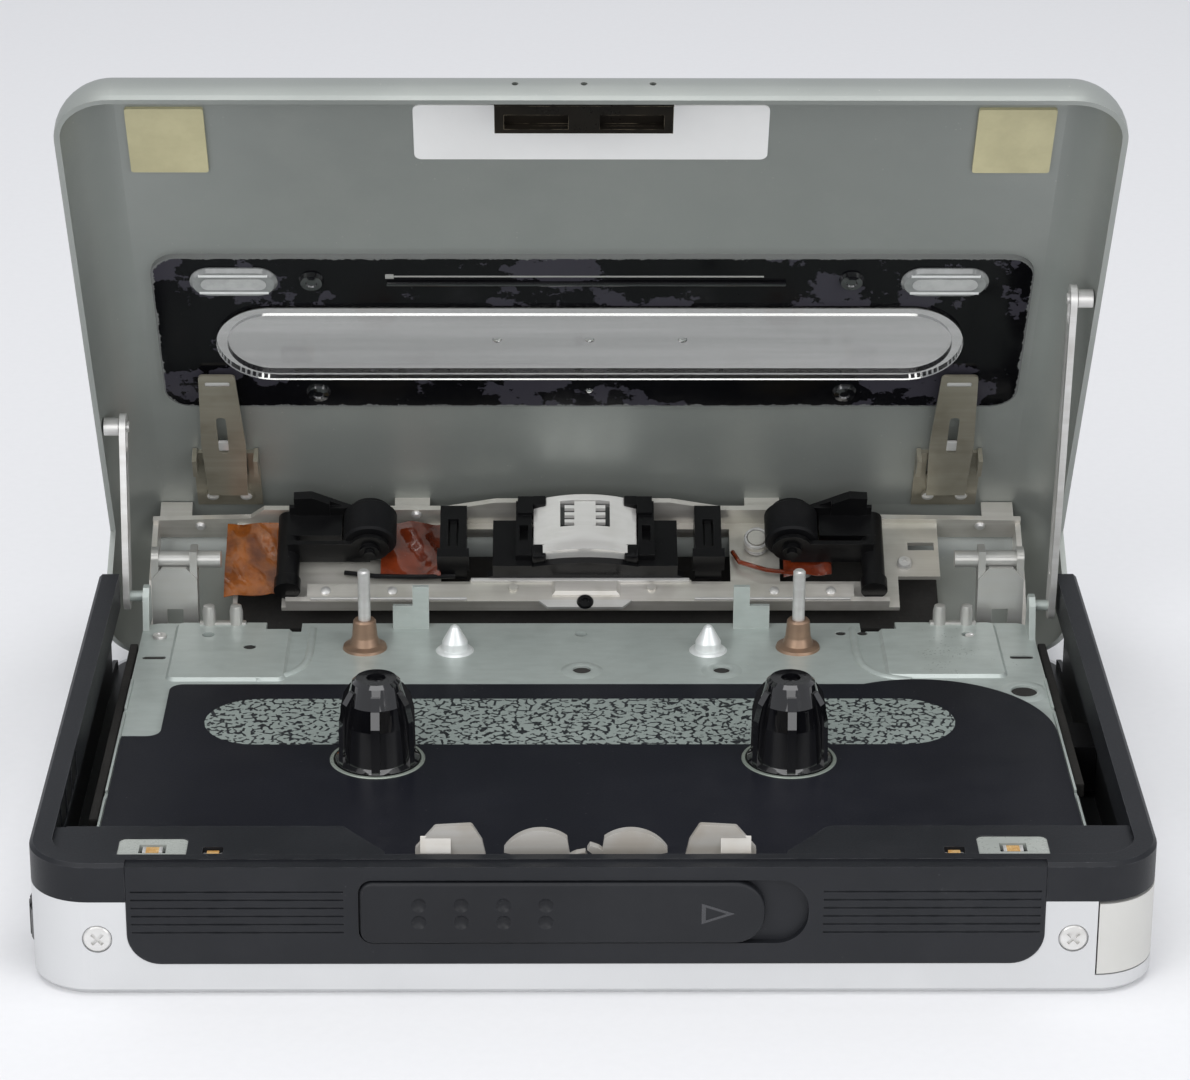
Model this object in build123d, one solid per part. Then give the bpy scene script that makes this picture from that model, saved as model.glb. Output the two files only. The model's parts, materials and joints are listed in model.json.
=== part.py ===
from build123d import *
from math import acos, atan2, cos, pi, radians, sin
import os

# Slim cassette player with a hinged metal lid, modelled in millimetres.
# Origin: centre of the flat bottom. +X to the right, -Y to the latch side, +Z up.
# The lid and what it carries are drawn shut and are then turned open about the hinge.

# Case
case_width = 108.2
case_depth = 79.5
corner_radius = 6.0
lower_height = 10.0
rim_height = 14.0
wall = 1.0
floor = 0.9
bottom_bevel = 0.7
frame_wall = 2.2
frame_end = 31.6

# Lid
lid_gap = 0.2
lid_depth = 6.2
lid_sheet = 0.6
lid_edge_radius = 5.6
lid_tail_front = 31.9
lid_tail_bottom = 2.2
open_angle = 58.8
hinge_inset = 1.9
hinge_height = 3.4
hinge_pin_radius = 0.6
shaft_clearance = 0.05

# Lid window and small pieces inside the lid
window_length = 94.3
window_width = 25.3
window_centre = (0.35, 2.8)
window_radius = 3.0
window_flange = 1.6
lens_length = 81.2
lens_width = 12.2
lens_centre_y = 4.15
lens_rim = 1.2
prism_length = 9.4
prism_width = 4.4
prism_offset = 38.0
prism_y = -6.05
pad_size = (8.0, 9.6)
pad_offset = 43.5
pad_y = -27.9
label_size = (36.4, 8.2)
label_y = -29.0

# Tape deck
mechanism_x = -0.78
reel_spacing = 42.5
reel_line = 35.99
capstan_spacing = 47.6
capstan_offset = 29.48
locator_spacing = 27.8
locator_offset = 28.7
deck_top = 7.7
deck_sheet = 0.8
deck_half_width = case_width / 2 - 4.7
deck_front = -36.4
deck_rear = 32.4
label_sheet = 0.4
reel_hole = 4.95

# Reels, capstans and drive
spindle_top = 17.27
spindle_flange_radius = 4.35
spindle_pin_radius = 1.2
reel_gear_teeth = 28
reel_gear_module = 0.5
reel_gear_width = 1.7
capstan_radius = 0.68
capstan_top = 16.92
bearing_height = 3.4
flywheel_radius = 9.5
flywheel_width = 3.0
pulley_radius = 6.5
pulley_width = 2.0
motor_radius = 8.5
motor_y = 18.5
motor_pulley_radius = 2.0
idler_x = 36.5
idler_y = 20.5
idler_radius = 2.0
belt_thickness = 0.5
belt_width = 1.0
running_gap = 0.15

# Front: panel, knob and latch
panel_left = -44.5
panel_right = 43.0
panel_bottom = 3.4
panel_proud = 0.2
screw_z = 6.08
panel_thickness = 1.35
panel_radius = 3.2
groove_count = 6
groove_pitch = 0.86
groove_width = 0.2
groove_depth = 0.15
knob_left = -22.25
knob_length = 38.5
knob_bottom = 5.85
knob_height = 6.4
knob_travel = 4.0
knob_gap = 0.15
knob_end_radius = 2.9
knob_proud = 0.4
hook_pivot_half = 4.3
hook_pivot_z = 11.6
hook_teeth = 18
hook_sheet = 0.9
hook_reach = 4.1
hook_nose = 3.5
hook_slot_gap = 0.25
hook_y = -36.1
ledge_top = 13.5
ledge_rear = -30.5

# Battery bay and its door
bay_rear = -19.0
bay_left = -21.0
door_front_edge = case_width / 2 - 6.1
door_bottom = 2.1
door_top = 9.85
door_axis = (case_width / 2 - 0.7, -20.9)
door_barrel = 0.7
door_pin_radius = 0.4
door_gap = 0.15

# Controls and sockets
wheel_radius = 6.5
wheel_width = 3.9
wheel_centre = (wheel_radius - case_width / 2 - 0.8, wheel_radius - case_depth / 2 + 3.05)
wheel_bottom = 2.1
wheel_notches = 24
key_pitch = 4.5
key_first_y = -28.5
key_size = (3.4, 2.0)
key_z = 12.0
key_proud = 0.25
key_gap = 0.12
jack_bore = 1.75
jack_depth = 12.0
jack_y = 4.5
jack_z = 4.4

# Head, pinch rollers and springs on the lid
roller_radius = 3.0
roller_length = 4.1
roller_gap = 0.2
roller_lift = 4.6
arm_pivot_offset = 33.0
arm_pivot_y = 32.0
arm_foot_radius = 1.5
head_x = -0.3
head_width = 11.6
head_front = 28.5
head_dome = 1.2
head_bottom = 9.0
head_top = 16.9
frame_web_y = 34.2
frame_web_half = 40.0
spring_offset = 40.8
spring_z = 18.25
spring_sheet = 0.3
link_x = case_width / 2 - 2.9
link_sheet = 0.7
link_width = 3.0
link_pin_y = (14.0, -8.0)
link_pin_z = 15.2
link_foot_z = 10.9
link_pin_radius = 0.6
link_slot_gap = 0.3
link_slot_run = 2.0

front = -case_depth / 2
rear = case_depth / 2
half = case_width / 2
hinge_y = rear - hinge_inset
lid_rim = rim_height + lid_gap
lid_top = lid_rim + lid_depth
lid_inner = lid_top - lid_sheet
reel_y = front + reel_line
capstan_y = reel_y + capstan_offset
locator_y = reel_y + locator_offset
deck_bottom = deck_top - deck_sheet
label_top = deck_top + label_sheet
left_reel = mechanism_x - reel_spacing / 2
right_reel = mechanism_x + reel_spacing / 2
left_capstan = mechanism_x - capstan_spacing / 2
right_capstan = mechanism_x + capstan_spacing / 2
bearing_top = deck_top + bearing_height
roller_bottom = bearing_top + roller_gap
sides = (-1, 1)

OPEN = Pos(0, hinge_y, hinge_height) * Rot(-open_angle, 0, 0) * Pos(0, -hinge_y, -hinge_height)


def slab(x0, x1, y0, y1, z0, z1):
    return Pos((x0 + x1) / 2, (y0 + y1) / 2, (z0 + z1) / 2) * Box(x1 - x0, y1 - y0, z1 - z0)


def rod(x, y, z0, z1, r):
    return Pos(x, y, (z0 + z1) / 2) * Cylinder(r, z1 - z0)


def rod_x(x0, x1, y, z, r):
    return Pos((x0 + x1) / 2, y, z) * Rot(0, 90, 0) * Cylinder(r, x1 - x0)


def rod_y(y0, y1, x, z, r):
    return Pos(x, (y0 + y1) / 2, z) * Rot(90, 0, 0) * Cylinder(r, y1 - y0)


def plan_slab(x, y, length, width, r, z0, z1):
    # A flat plate with rounded corners, lying down.
    return Pos(x, y, z0) * extrude(RectangleRounded(length, width, r), z1 - z0)


def front_plate(outline, y0, y1):
    # A sketch drawn in X and Z, given a thickness from y0 to y1.
    return extrude(Plane.XZ.offset(-y0) * outline, -(y1 - y0))


def side_plate(outline, x0, x1):
    # A sketch drawn in Y and Z, given a thickness from x0 to x1.
    return extrude(Plane.YZ.offset(x0) * outline, x1 - x0)


def polygon(*points):
    return make_face(Polyline(*points, close=True))


def turned(points, x, y):
    # A solid of revolution about a vertical axis, from (radius, height) points.
    return Pos(x, y, 0) * revolve(Plane.XZ * polygon(*points), Axis.Z)


def case_outline(inset=0.0):
    return RectangleRounded(case_width - 2 * inset, case_depth - 2 * inset, corner_radius - inset)


def case_block(inset, z0, z1):
    return Pos(0, 0, z0) * extrude(case_outline(inset), z1 - z0)


def one(shape):
    # Joins touching solids into one and drops seams.
    return shape.clean()


def edges_at(shape, z):
    return shape.edges().filter_by_position(Axis.Z, z - 0.01, z + 0.01)


def panel_region(y0, y1, grow=0.0):
    # The black front panel's outline, with rounded lower corners.
    left, right, low = panel_left - grow, panel_right + grow, panel_bottom - grow
    r = panel_radius
    sheet = polygon((left, low), (right, low), (right, rim_height + 1), (left, rim_height + 1))
    sheet = fillet(sheet.vertices().sort_by(Axis.Y)[:2], r)
    return front_plate(sheet, y0, y1)


def door_region(gap):
    # The room in the right front corner that the battery door fills.
    return slab(door_front_edge - gap, half + 1, front - 1, door_axis[1], door_bottom - gap, lower_height + 1)


def lower_case():
    # Silver tray: floor, walls, battery bay ribs, posts and bosses.
    body = case_block(0, 0, lower_height)
    body = chamfer(edges_at(body, 0), bottom_bevel)
    body -= case_block(wall, floor, lower_height + 1)
    inside = case_block(wall, floor, lower_height)
    ribs = slab(bay_left - wall, half, bay_rear, bay_rear + wall, floor, deck_bottom)
    ribs += slab(bay_left - wall, bay_left, front, bay_rear + wall, floor, deck_bottom)
    ribs += slab(bay_left, door_front_edge - 4, front + wall, front + 3.0, floor, 2.4)
    body += ribs & inside
    for x, y in post_places():
        body += rod(x, y, floor, deck_bottom, 1.6)
        body -= rod(x, y, 2.5, deck_bottom + 0.1, 0.6)
    for x in (left_reel, right_reel):
        body += rod(x, reel_y, floor, 3.6, 2.4)
        body -= rod(x, reel_y, 1.2, 4, spindle_pin_radius + shaft_clearance)
    body += rod(*wheel_centre, floor, wheel_bottom + wheel_width + 0.4, 1.5)
    for side, centre in zip(sides, screw_centres()):
        boss = rod_y(front + wall - 0.1, front + 2.6, centre, screw_z, 1.7)
        body += boss & inside
        body -= rod_y(front - 0.1, front + 2.5, centre, screw_z, 0.75)
        body -= rod_y(front - 0.1, front + 0.35, centre, screw_z, 1.45)
    body -= (rod(*wheel_centre, wheel_bottom - 0.2, wheel_bottom + wheel_width + 0.2, wheel_radius + 0.35)
             - rod(*wheel_centre, 0, 10, 2.0))
    # The back is open above the floor, where the lid's own wall comes down.
    body -= slab(-half - 1, half + 1, hinge_y - 2.6, rear + 1, floor, lower_height + 1)
    body -= slab(-half - 1, half + 1, frame_end, rear + 1, 2.0, lower_height + 1)
    body -= panel_region(front - 1, front + 4.2)
    x, y = door_axis
    body += slab(x - 1.2, x, y - 1.1, y + 1.2, floor - 0.1, door_bottom)
    body -= door_region(0)
    # The door's outer edge swings through a quarter circle about its pin.
    swing = max(door_barrel, 2 ** 0.5 * (half - door_axis[0]))
    body -= rod(*door_axis, door_bottom, lower_height + 1, swing + door_gap)
    body -= rod(*door_axis, door_bottom - 0.7, door_bottom + 0.1, door_pin_radius + shaft_clearance)
    body -= rod_x(half - 2, half + 1, jack_y, jack_z, 2.6)
    for x in (-20, 20):
        for y in (-26, 26):
            body -= rod(x, y, -0.1, 0.25, 1.3)
    return one(body)


def screw_centres():
    return (mechanism_x - 46.55, mechanism_x + 46.55)


def post_places():
    return [(-44.0, -14.5), (-9.0, -14.5), (44.0, -14.5), (-42.0, 28.5), (42.0, 28.5), (mechanism_x, 29.4)]


def middle_frame():
    # Black band with the lid's landing rim, the front ledges and the key holes.
    body = case_block(0, lower_height, rim_height)
    body = chamfer(edges_at(body, rim_height), 0.35)
    body -= case_block(frame_wall, lower_height - 1, rim_height + 1)
    body -= slab(-half - 1, half + 1, frame_end, rear + 1, lower_height - 1, rim_height + 1)
    inside = case_block(frame_wall - 0.1, label_top, ledge_top)
    for x0, x1 in ((-half, -20.0), (18.5, half)):
        ledge = slab(x0, x1, front, ledge_rear, label_top + 0.05, ledge_top)
        inner = x1 if x0 < 0 else x0
        run = 5.0 if x0 < 0 else -5.0
        ramp = polygon((inner, ledge_rear + 1), (inner - run, ledge_rear + 1), (inner, ledge_rear - 5.5))
        ledge -= extrude(Pos(0, 0, label_top - 1) * ramp, 8)
        body += ledge & inside
    body += slab(-20.5, 19.0, front + 0.6, front + frame_wall, lower_height, ledge_top)
    body -= panel_region(front - 1, front - panel_proud + panel_thickness)
    for x, y, length, width in lens_places():
        body -= plan_slab(x, y, length, width, width / 6, ledge_top - 1.2, ledge_top + 1)
    for i in range(4):
        y = key_first_y + i * key_pitch
        for x, gap in ((-half - 1, key_gap), (-half + 1.5, 0.5)):
            across, up = key_size[0] / 2 + gap, key_size[1] / 2 + gap
            body -= slab(x, -half + frame_wall + 1, y - across, y + across, key_z - up, key_z + up)
    body -= rod(*door_axis, lower_height - 0.1, lower_height + 0.6, door_pin_radius + shaft_clearance)
    return one(body)


def lens_places():
    wells = [(-42.2, -35.2, 6.6, 4.2), (40.2, -35.0, 6.8, 4.6)]
    return wells + [(-36.4, -35.7, 2.0, 1.4), (34.5, -35.7, 2.0, 1.4)]


def indicator_lenses():
    # White light wells set into the ledges, each with a pocket for its lamp.
    wells = []
    for x, y, length, width in lens_places()[:2]:
        well = plan_slab(x, y, length, width, width / 6, ledge_top - 1.2, ledge_top - 0.1)
        well -= slab(x - 1.3, x + 1.3, y - 0.9, y + 0.9, ledge_top - 0.8, ledge_top + 1)
        wells.append(well)
    return Compound(wells)


def indicator_lamps():
    # Chip lamps: two in the wells and two in small pockets of the ledges.
    chips = []
    for x, y, length, width in lens_places():
        base = ledge_top - (0.8 if length > 3 else 1.2)
        chip = slab(x - 0.9, x + 0.9, y - 0.6, y + 0.6, base, base + 0.6)
        chips.append(chamfer(chip.edges().filter_by(Axis.Y).group_by(Axis.Z)[-1], 0.15))
    return Compound(chips)


def front_panel():
    y0 = front - panel_proud
    body = panel_region(y0, y0 + panel_thickness) & slab(-half, half, front - 2, rear, 0, rim_height - 0.2)
    body = fillet(body.edges().group_by(Axis.Y)[0].group_by(Axis.Z)[0], 0.3)
    right = knob_left + knob_length + knob_travel + knob_gap
    left = knob_left - knob_gap
    z = knob_bottom + knob_height / 2
    low, high = knob_bottom - knob_gap, knob_bottom + knob_height + knob_gap
    pocket = polygon((left, low), (right, low), (right, high), (left, high))
    pocket = fillet(pocket.vertices().sort_by(Axis.X)[:2], 1.2 + knob_gap)
    pocket = fillet(pocket.vertices().sort_by(Axis.X)[-2:], knob_end_radius + knob_gap)
    body -= front_plate(pocket, y0 - 1, y0 + 0.8)
    for x0, x1 in ((panel_left + 0.5, left - 1.4), (right + 1.4, panel_right - 0.5)):
        for i in range(groove_count):
            low = z + (i - (groove_count - 1) / 2) * groove_pitch - groove_width / 2
            body -= slab(x0, x1, y0 - 1, y0 + groove_depth, low, low + groove_width)
    body -= slab(-12.2, 6.2, y0, y0 + 5, z - 0.9, z + 0.9)
    return one(body)


def open_knob():
    # Sliding knob with two rows of thumb dimples and a shank through the panel.
    y0 = front - panel_proud - knob_proud
    z = knob_bottom + knob_height / 2
    right = knob_left + knob_length
    plate = polygon((knob_left, knob_bottom), (right, knob_bottom), (right, knob_bottom + knob_height),
                    (knob_left, knob_bottom + knob_height))
    plate = fillet(plate.vertices().sort_by(Axis.X)[:2], 1.2)
    plate = fillet(plate.vertices().sort_by(Axis.X)[-2:], knob_end_radius)
    body = front_plate(plate, y0, y0 + knob_proud + 0.65)
    body = fillet(body.edges().group_by(Axis.Y)[0], 0.3)
    for i in range(4):
        for dz in (-0.9, 0.9):
            body -= Pos(-16.64 + i * 4.02, y0 - 0.75, z + dz) * Sphere(1.05)
    body += slab(-12.0, 2.0, y0 + knob_proud + 0.6, front + 1.9, z - 0.75, z + 0.75)
    return one(body)


def latch_slide():
    # Steel bar behind the panel that carries the knob's stroke to the hooks.
    z = knob_bottom + knob_height / 2
    bar = slab(-17.0, 9.0, front + 1.9, front + 2.5, z - 2.6, z + 0.85)
    for x in (-16.0, 2.6):
        bar -= slab(x, x + 5.4, front + 1, front + 3, z - 1.9, z - 0.9)
    return one(bar)


def latch_bracket():
    # Pressed plate behind the slide, with the hooks' pivots and two bent tabs.
    y = hook_y - 0.9
    plate = slab(-19.0, 17.4, y, y + 0.6, label_top + 0.1, 12.6)
    plate -= slab(-1.6 + mechanism_x, 1.6 + mechanism_x, y - 1, y + 1, 10.6, 13)
    for side in sides:
        pivot = mechanism_x + side * hook_pivot_half
        plate += rod_y(y + 0.5, hook_y + hook_sheet + 0.5, pivot, hook_pivot_z, 0.6)
        tab = [(9.4, 12.0), (16.3, 12.0), (16.3, 13.6), (14.4, 15.9), (10.9, 16.1), (9.9, 14.4)]
        outline = polygon(*[(mechanism_x + side * px, pz) for px, pz in tab])
        outline = fillet(outline.vertices().sort_by(Axis.Y)[2:], 0.35)
        plate += front_plate(outline, hook_y + 0.5, hook_y + 1.1)
        foot = sorted((mechanism_x + side * 9.4, mechanism_x + side * 16.3))
        plate += slab(foot[0], foot[1], y, hook_y + 1.1, 12.0, 12.6)
        lap = polygon((hook_y + 0.6, 12.6), (hook_y + 0.6, 14.9), (hook_y - 0.1, 13.4), (hook_y - 0.1, 12.6))
        plate += side_plate(lap, *sorted((mechanism_x + side * 12.9, mechanism_x + side * 15.8)))
    plate += slab(-19.0, 17.4, y, ledge_rear - 1.0, label_top, label_top + 0.5)
    plate -= slab(mechanism_x - 5.6, mechanism_x + 5.6, hook_y - 0.3, hook_y + hook_sheet + 0.4, 7, 10)
    return one(plate)


def latch_hook(side):
    # Hook with a toothed sector; the two sectors mesh on the centre line.
    cx = mechanism_x + side * hook_pivot_half
    pitch_angle = 2 * pi / hook_teeth
    outer, root = hook_pivot_half + 0.35, hook_pivot_half - 0.5
    tooth = 0.36 * pitch_angle
    shift = 0.0 if side < 0 else 0.5
    face = Circle(2.1)
    points = [(0, 0)]
    for i in range(-1 if side < 0 else -2, 2):
        middle = (i + shift) * pitch_angle
        for part, radius in ((-0.6, root), (-0.32, outer), (0.32, outer), (0.6, root)):
            angle = middle + part * tooth * 1.5
            points.append((radius * cos(angle), radius * sin(angle)))
    face += polygon(*points)
    crown = polygon((0, -0.2), (-2.3, 0.4), (-2.5, 1.6), (-hook_nose, 1.8), (-hook_nose, hook_reach),
                    (2.4, hook_reach), (2.8, 1.2))
    face += Circle(hook_reach) & crown
    if side > 0:
        face = mirror(face, Plane.YZ)
    face = Pos(cx, hook_pivot_z) * face
    body = front_plate(face, hook_y, hook_y + hook_sheet)
    body -= rod_y(hook_y - 1, hook_y + 2, cx, hook_pivot_z, 0.6 + shaft_clearance)
    return one(body)


def chassis_plate():
    # Pressed steel deck with raised pads, holes and two upright tabs.
    body = slab(-deck_half_width, deck_half_width, deck_front, deck_rear, deck_bottom, deck_top)
    body = fillet(body.edges().filter_by(Axis.Z), 2.0)
    body -= slab(-30.0, 28.4, deck_front - 1, ledge_rear - 4.2, deck_bottom - 1, deck_top + 1)
    for x, y, length, width in ((-39.3, 24.4, 13.0, 15.6), (38.8, 24.8, 13.2, 14.8)):
        pad = Pos(x, y, deck_top - 0.01) * extrude(RectangleRounded(length, width, 1.0), 0.35, taper=45)
        body += pad
    for side in sides:
        tab = [(-2.0, 7.5), (2.0, 7.5), (2.0, 10.4), (-0.2, 10.4), (-0.2, 12.7), (-2.0, 12.7)]
        outline = polygon(*[(mechanism_x + side * (18.9 + x), z) for x, z in tab])
        body += front_plate(outline, 31.0, 31.6)
    for x in (left_reel, right_reel):
        body -= rod(x, reel_y, deck_bottom - 1, deck_top + 1, reel_hole)
    for x in (left_capstan, right_capstan):
        body -= rod(x, capstan_y, deck_bottom - 1, deck_top + 1, 1.6)
    for side in sides:
        body -= rod(mechanism_x + side * locator_spacing / 2, locator_y, deck_bottom - 1, deck_top + 1, 0.8)
    for x, y, r in ((mechanism_x, 19.5, 1.0), (46.7, 13.8, 1.4), (28.0, 29.6, 0.6), (30.4, 29.6, 0.6),
                    (-37.2, 25.2, 0.7), (14.4, 19.5, 0.9)):
        body -= rod(x, y, deck_bottom - 1, deck_top + 1, r)
    for x in (-47.5, 47.4):
        body -= plan_slab(x, 23.0, 2.6, 0.9, 0.4, deck_bottom - 1, deck_top + 1)
    for x, y in post_places():
        body -= rod(x, y, deck_bottom - 1, deck_top + 1, 0.7)
    # Notches in the rear edge for the feet of the pinch arms.
    for side in sides:
        x, r = mechanism_x + side * arm_pivot_offset, arm_foot_radius + 0.45
        body -= slab(x - r, x + r, arm_pivot_y - r, deck_rear + 1, deck_bottom - 1, deck_top + 1)
    # Side ears with a stud for each stay link.
    for side in sides:
        y, z = link_foot(side)
        ear = polygon((y - 2.4, deck_top - 0.1), (y + 1.6, deck_top - 0.1), (y + 1.2, z + 0.4),
                      (y + 0.4, z + 1.2), (y - 0.6, z + 1.2), (y - 1.4, z + 0.4))
        x = sorted((side * (deck_half_width - 0.7), side * deck_half_width))
        body += side_plate(ear, x[0], x[1])
        stud = sorted((side * (deck_half_width - 0.1), side * (link_x + link_sheet / 2 + 0.1)))
        body += rod_x(*stud, y, z, link_pin_radius)
    return one(body)


def label_plate():
    # Thin black cover over the reels, with a step at the left and a large arc at the right.
    edge = (Line((-49.0, -34.6), (49.0, -34.6)) + Line((49.0, -34.6), (49.0, 2.0))
            + ThreePointArc((49.0, 2.0), (42.5, 14.2), (29.5, 15.0)) + Line((29.5, 15.0), (-45.0, 15.0))
            + Line((-45.0, 15.0), (-45.0, 1.8)) + Line((-45.0, 1.8), (-49.0, 1.8))
            + Line((-49.0, 1.8), (-49.0, -34.6)))
    face = make_face(edge)
    body = Pos(0, 0, deck_top) * extrude(face, label_sheet)
    body = fillet(body.edges().filter_by(Axis.Z).filter_by_position(Axis.X, -45.1, -44.9), 1.5)
    for x in (left_reel, right_reel):
        body -= rod(x, reel_y, deck_top - 1, label_top + 1, reel_hole)
    body -= slab(-30.0, 28.4, -40, ledge_rear - 4.2, deck_top - 1, label_top + 1)
    return one(body)


def reel_spindle(x):
    # Drive spindle with six splines under a domed tip.
    flange = label_top + 0.15
    foot, dimple = deck_bottom + 0.1, spindle_top - 0.7
    profile = [(0, 1.3), (spindle_pin_radius, 1.3), (spindle_pin_radius, 4.7), (2.4, 4.7), (2.4, foot),
               (spindle_flange_radius, foot), (spindle_flange_radius, flange), (3.75, flange + 0.3),
               (3.5, 12.5), (3.1, 14.8), (2.5, 16.9), (2.1, spindle_top), (1.0, spindle_top),
               (0.9, dimple), (0, dimple)]
    body = turned(profile, x, reel_y)
    rib = [(2.2, flange), (4.25, flange), (4.15, 13.2), (3.7, 15.0), (2.9, 16.2), (2.2, 16.4)]
    for i in range(6):
        blade = extrude(Plane.XZ * polygon(*rib), 0.45, both=True)
        body += Pos(x, reel_y, 0) * Rot(0, 0, 60 * i + 30) * blade
    return one(body)


def gear_face(teeth, module, hole):
    pitch = teeth * module / 2
    root, tip = pitch - 1.1 * module, pitch + 0.9 * module
    points = []
    for i in range(teeth):
        middle = 2 * pi * i / teeth
        for part, radius in ((-0.30, root), (-0.13, tip), (0.13, tip), (0.30, root)):
            angle = middle + part * 2 * pi / teeth
            points.append((radius * cos(angle), radius * sin(angle)))
    return polygon(*points) - Circle(hole)


def reel_gear(x):
    # Toothed ring pressed on the spindle under the deck.
    face = gear_face(reel_gear_teeth, reel_gear_module, 2.4)
    return Pos(x, reel_y, deck_bottom - 0.35 - reel_gear_width) * extrude(face, reel_gear_width)


def capstan_shaft(x):
    body = rod(x, capstan_y, 1.5, capstan_top, capstan_radius)
    return chamfer(body.edges().group_by(Axis.Z)[-1], 0.2)


def flywheel(x):
    # Heavy rim with a thinner web and a belt pulley on top.
    z = 1.4
    web = z + flywheel_width
    top = web + pulley_width
    profile = [(capstan_radius, z), (flywheel_radius, z), (flywheel_radius, web - 0.4),
               (flywheel_radius - 0.4, web), (pulley_radius, web), (pulley_radius, web + 0.3),
               (pulley_radius - 0.3, web + 0.6), (pulley_radius - 0.3, top - 0.4), (pulley_radius, top),
               (pulley_radius - 1.0, top), (2.0, web + 0.6), (capstan_radius, web + 0.6)]
    return turned(profile, x, capstan_y)


def capstan_bearings():
    # Sintered bronze sleeves with a flange on the deck.
    sleeves = []
    for x in (left_capstan, right_capstan):
        bore = capstan_radius + shaft_clearance
        profile = [(bore, deck_bottom - 0.2), (1.6, deck_bottom - 0.2), (1.6, deck_top), (2.45, deck_top),
                   (2.35, deck_top + 0.3), (1.7, deck_top + 0.55), (1.4, deck_top + 1.4),
                   (1.25, bearing_top - 0.2), (1.1, bearing_top), (bore, bearing_top)]
        sleeves.append(turned(profile, x, capstan_y))
    return Compound(sleeves)


def locating_pins():
    # Cones that centre the cassette shell.
    pins = []
    for side in sides:
        profile = [(0, deck_bottom), (0.8, deck_bottom), (0.8, deck_top), (2.1, deck_top),
                   (1.9, deck_top + 0.2), (1.45, deck_top + 0.3), (1.4, deck_top + 1.1),
                   (0.45, deck_top + 2.85), (0.2, deck_top + 3.04), (0, deck_top + 3.04)]
        pins.append(turned(profile, mechanism_x + side * locator_spacing / 2, locator_y))
    return Compound(pins)


def drive_motor():
    # Flat motor can with a stepped lid and a shaft for its pulley.
    can = rod(mechanism_x, motor_y, floor, 4.2, motor_radius)
    can = fillet(can.edges().group_by(Axis.Z)[-1], 0.5)
    can += rod(mechanism_x, motor_y, 4.2, 4.4, 3.0)
    can += rod(mechanism_x, motor_y, 4.4, 6.6, 0.5)
    return one(can)


def grooved_pulley(x, y, radius, bore):
    # Small pulley with a groove for the belt, running on a pin.
    z = 4.6
    profile = [(bore, z), (radius + 0.5, z), (radius + 0.5, z + 0.2), (radius, z + 0.3), (radius, z + 1.5),
               (radius + 0.5, z + 1.6), (radius + 0.5, z + 1.8), (bore, z + 1.8)]
    return turned(profile, x, y)


def motor_pulley():
    return grooved_pulley(mechanism_x, motor_y, motor_pulley_radius, 0.5 + shaft_clearance)


def belt_path(rollers):
    # A closed loop round circles of signed radius: positive is passed anticlockwise.
    count = len(rollers)
    leaves, meets = [], []
    for i in range(count):
        (x1, y1, s1), (x2, y2, s2) = rollers[i], rollers[(i + 1) % count]
        length = ((x2 - x1) ** 2 + (y2 - y1) ** 2) ** 0.5
        normal = atan2(y2 - y1, x2 - x1) - acos((s1 - s2) / length)
        leaves.append((x1 + s1 * cos(normal), y1 + s1 * sin(normal)))
        meets.append((x2 + s2 * cos(normal), y2 + s2 * sin(normal)))
    path = []
    for i in range(count):
        x, y, s = rollers[i]
        start, end = meets[i - 1], leaves[i]
        a0, a1 = atan2(start[1] - y, start[0] - x), atan2(end[1] - y, end[0] - x)
        sweep = (a1 - a0) % (2 * pi) if s > 0 else -((a0 - a1) % (2 * pi))
        middle = (x + abs(s) * cos(a0 + sweep / 2), y + abs(s) * sin(a0 + sweep / 2))
        path += [ThreePointArc(start, middle, end), Line(end, meets[i])]
    return make_face(Wire(path))


def drive_belt():
    # The belt wraps one flywheel and drives the other with its back, so they turn opposite ways.
    def rollers(inner):
        near = running_gap if inner else running_gap + belt_thickness
        far = running_gap + belt_thickness if inner else running_gap
        return [(left_capstan, capstan_y, pulley_radius - 0.3 + near),
                (mechanism_x, motor_y, motor_pulley_radius + near),
                (idler_x, idler_y, idler_radius + near),
                (right_capstan, capstan_y, -(pulley_radius - 0.3 + far))]
    z = 1.4 + flywheel_width + 0.65
    ring = belt_path(rollers(False)) - belt_path(rollers(True))
    return Pos(0, 0, z) * extrude(ring, belt_width)


def main_board():
    # Circuit board on the floor with its chips, clear of the posts and reel bosses.
    board = slab(-41.6, 41.0, -16.2, 9.5, floor + 0.2, floor + 1.0)
    for x, y in post_places():
        board -= rod(x, y, 0, 4, 2.0)
    for x in (left_reel, right_reel):
        board -= rod(x, reel_y, 0, 4, 3.0)
    chips = [(-34, 3, 3.5, 3.5, 1.0), (0, -4, 4.5, 4.5, 1.2), (8, 6, 2.5, 2, 0.9), (33, -9, 3, 2.5, 1.1),
             (-8, 6, 1.5, 3, 1.5)]
    for x, y, dx, dy, height in chips:
        board += slab(x - dx, x + dx, y - dy, y + dy, floor + 0.9, floor + 1.0 + height)
    return one(board)


def idler_pulley():
    return grooved_pulley(idler_x, idler_y, idler_radius, 0.6 + shaft_clearance)


def idler_post():
    return rod(idler_x, idler_y, floor, 6.6, 0.6) + rod(idler_x, idler_y, floor, 4.4, 1.2)


def battery_contact():
    # Spring contact on its insulating card at the inner end of the bay.
    z = 4.2
    card = slab(bay_left, bay_left + 0.6, front + 4.4, bay_rear - 0.2, floor + 0.1, 6.8)
    bend = [(0.5, z - 2), (0.8, z - 2), (2.4, z), (0.8, z + 2), (0.5, z + 2), (1.9, z)]
    leaf = polygon(*[(bay_left + x, height) for x, height in bend])
    return one(card + front_plate(leaf, -29.5, -25.5))


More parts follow.
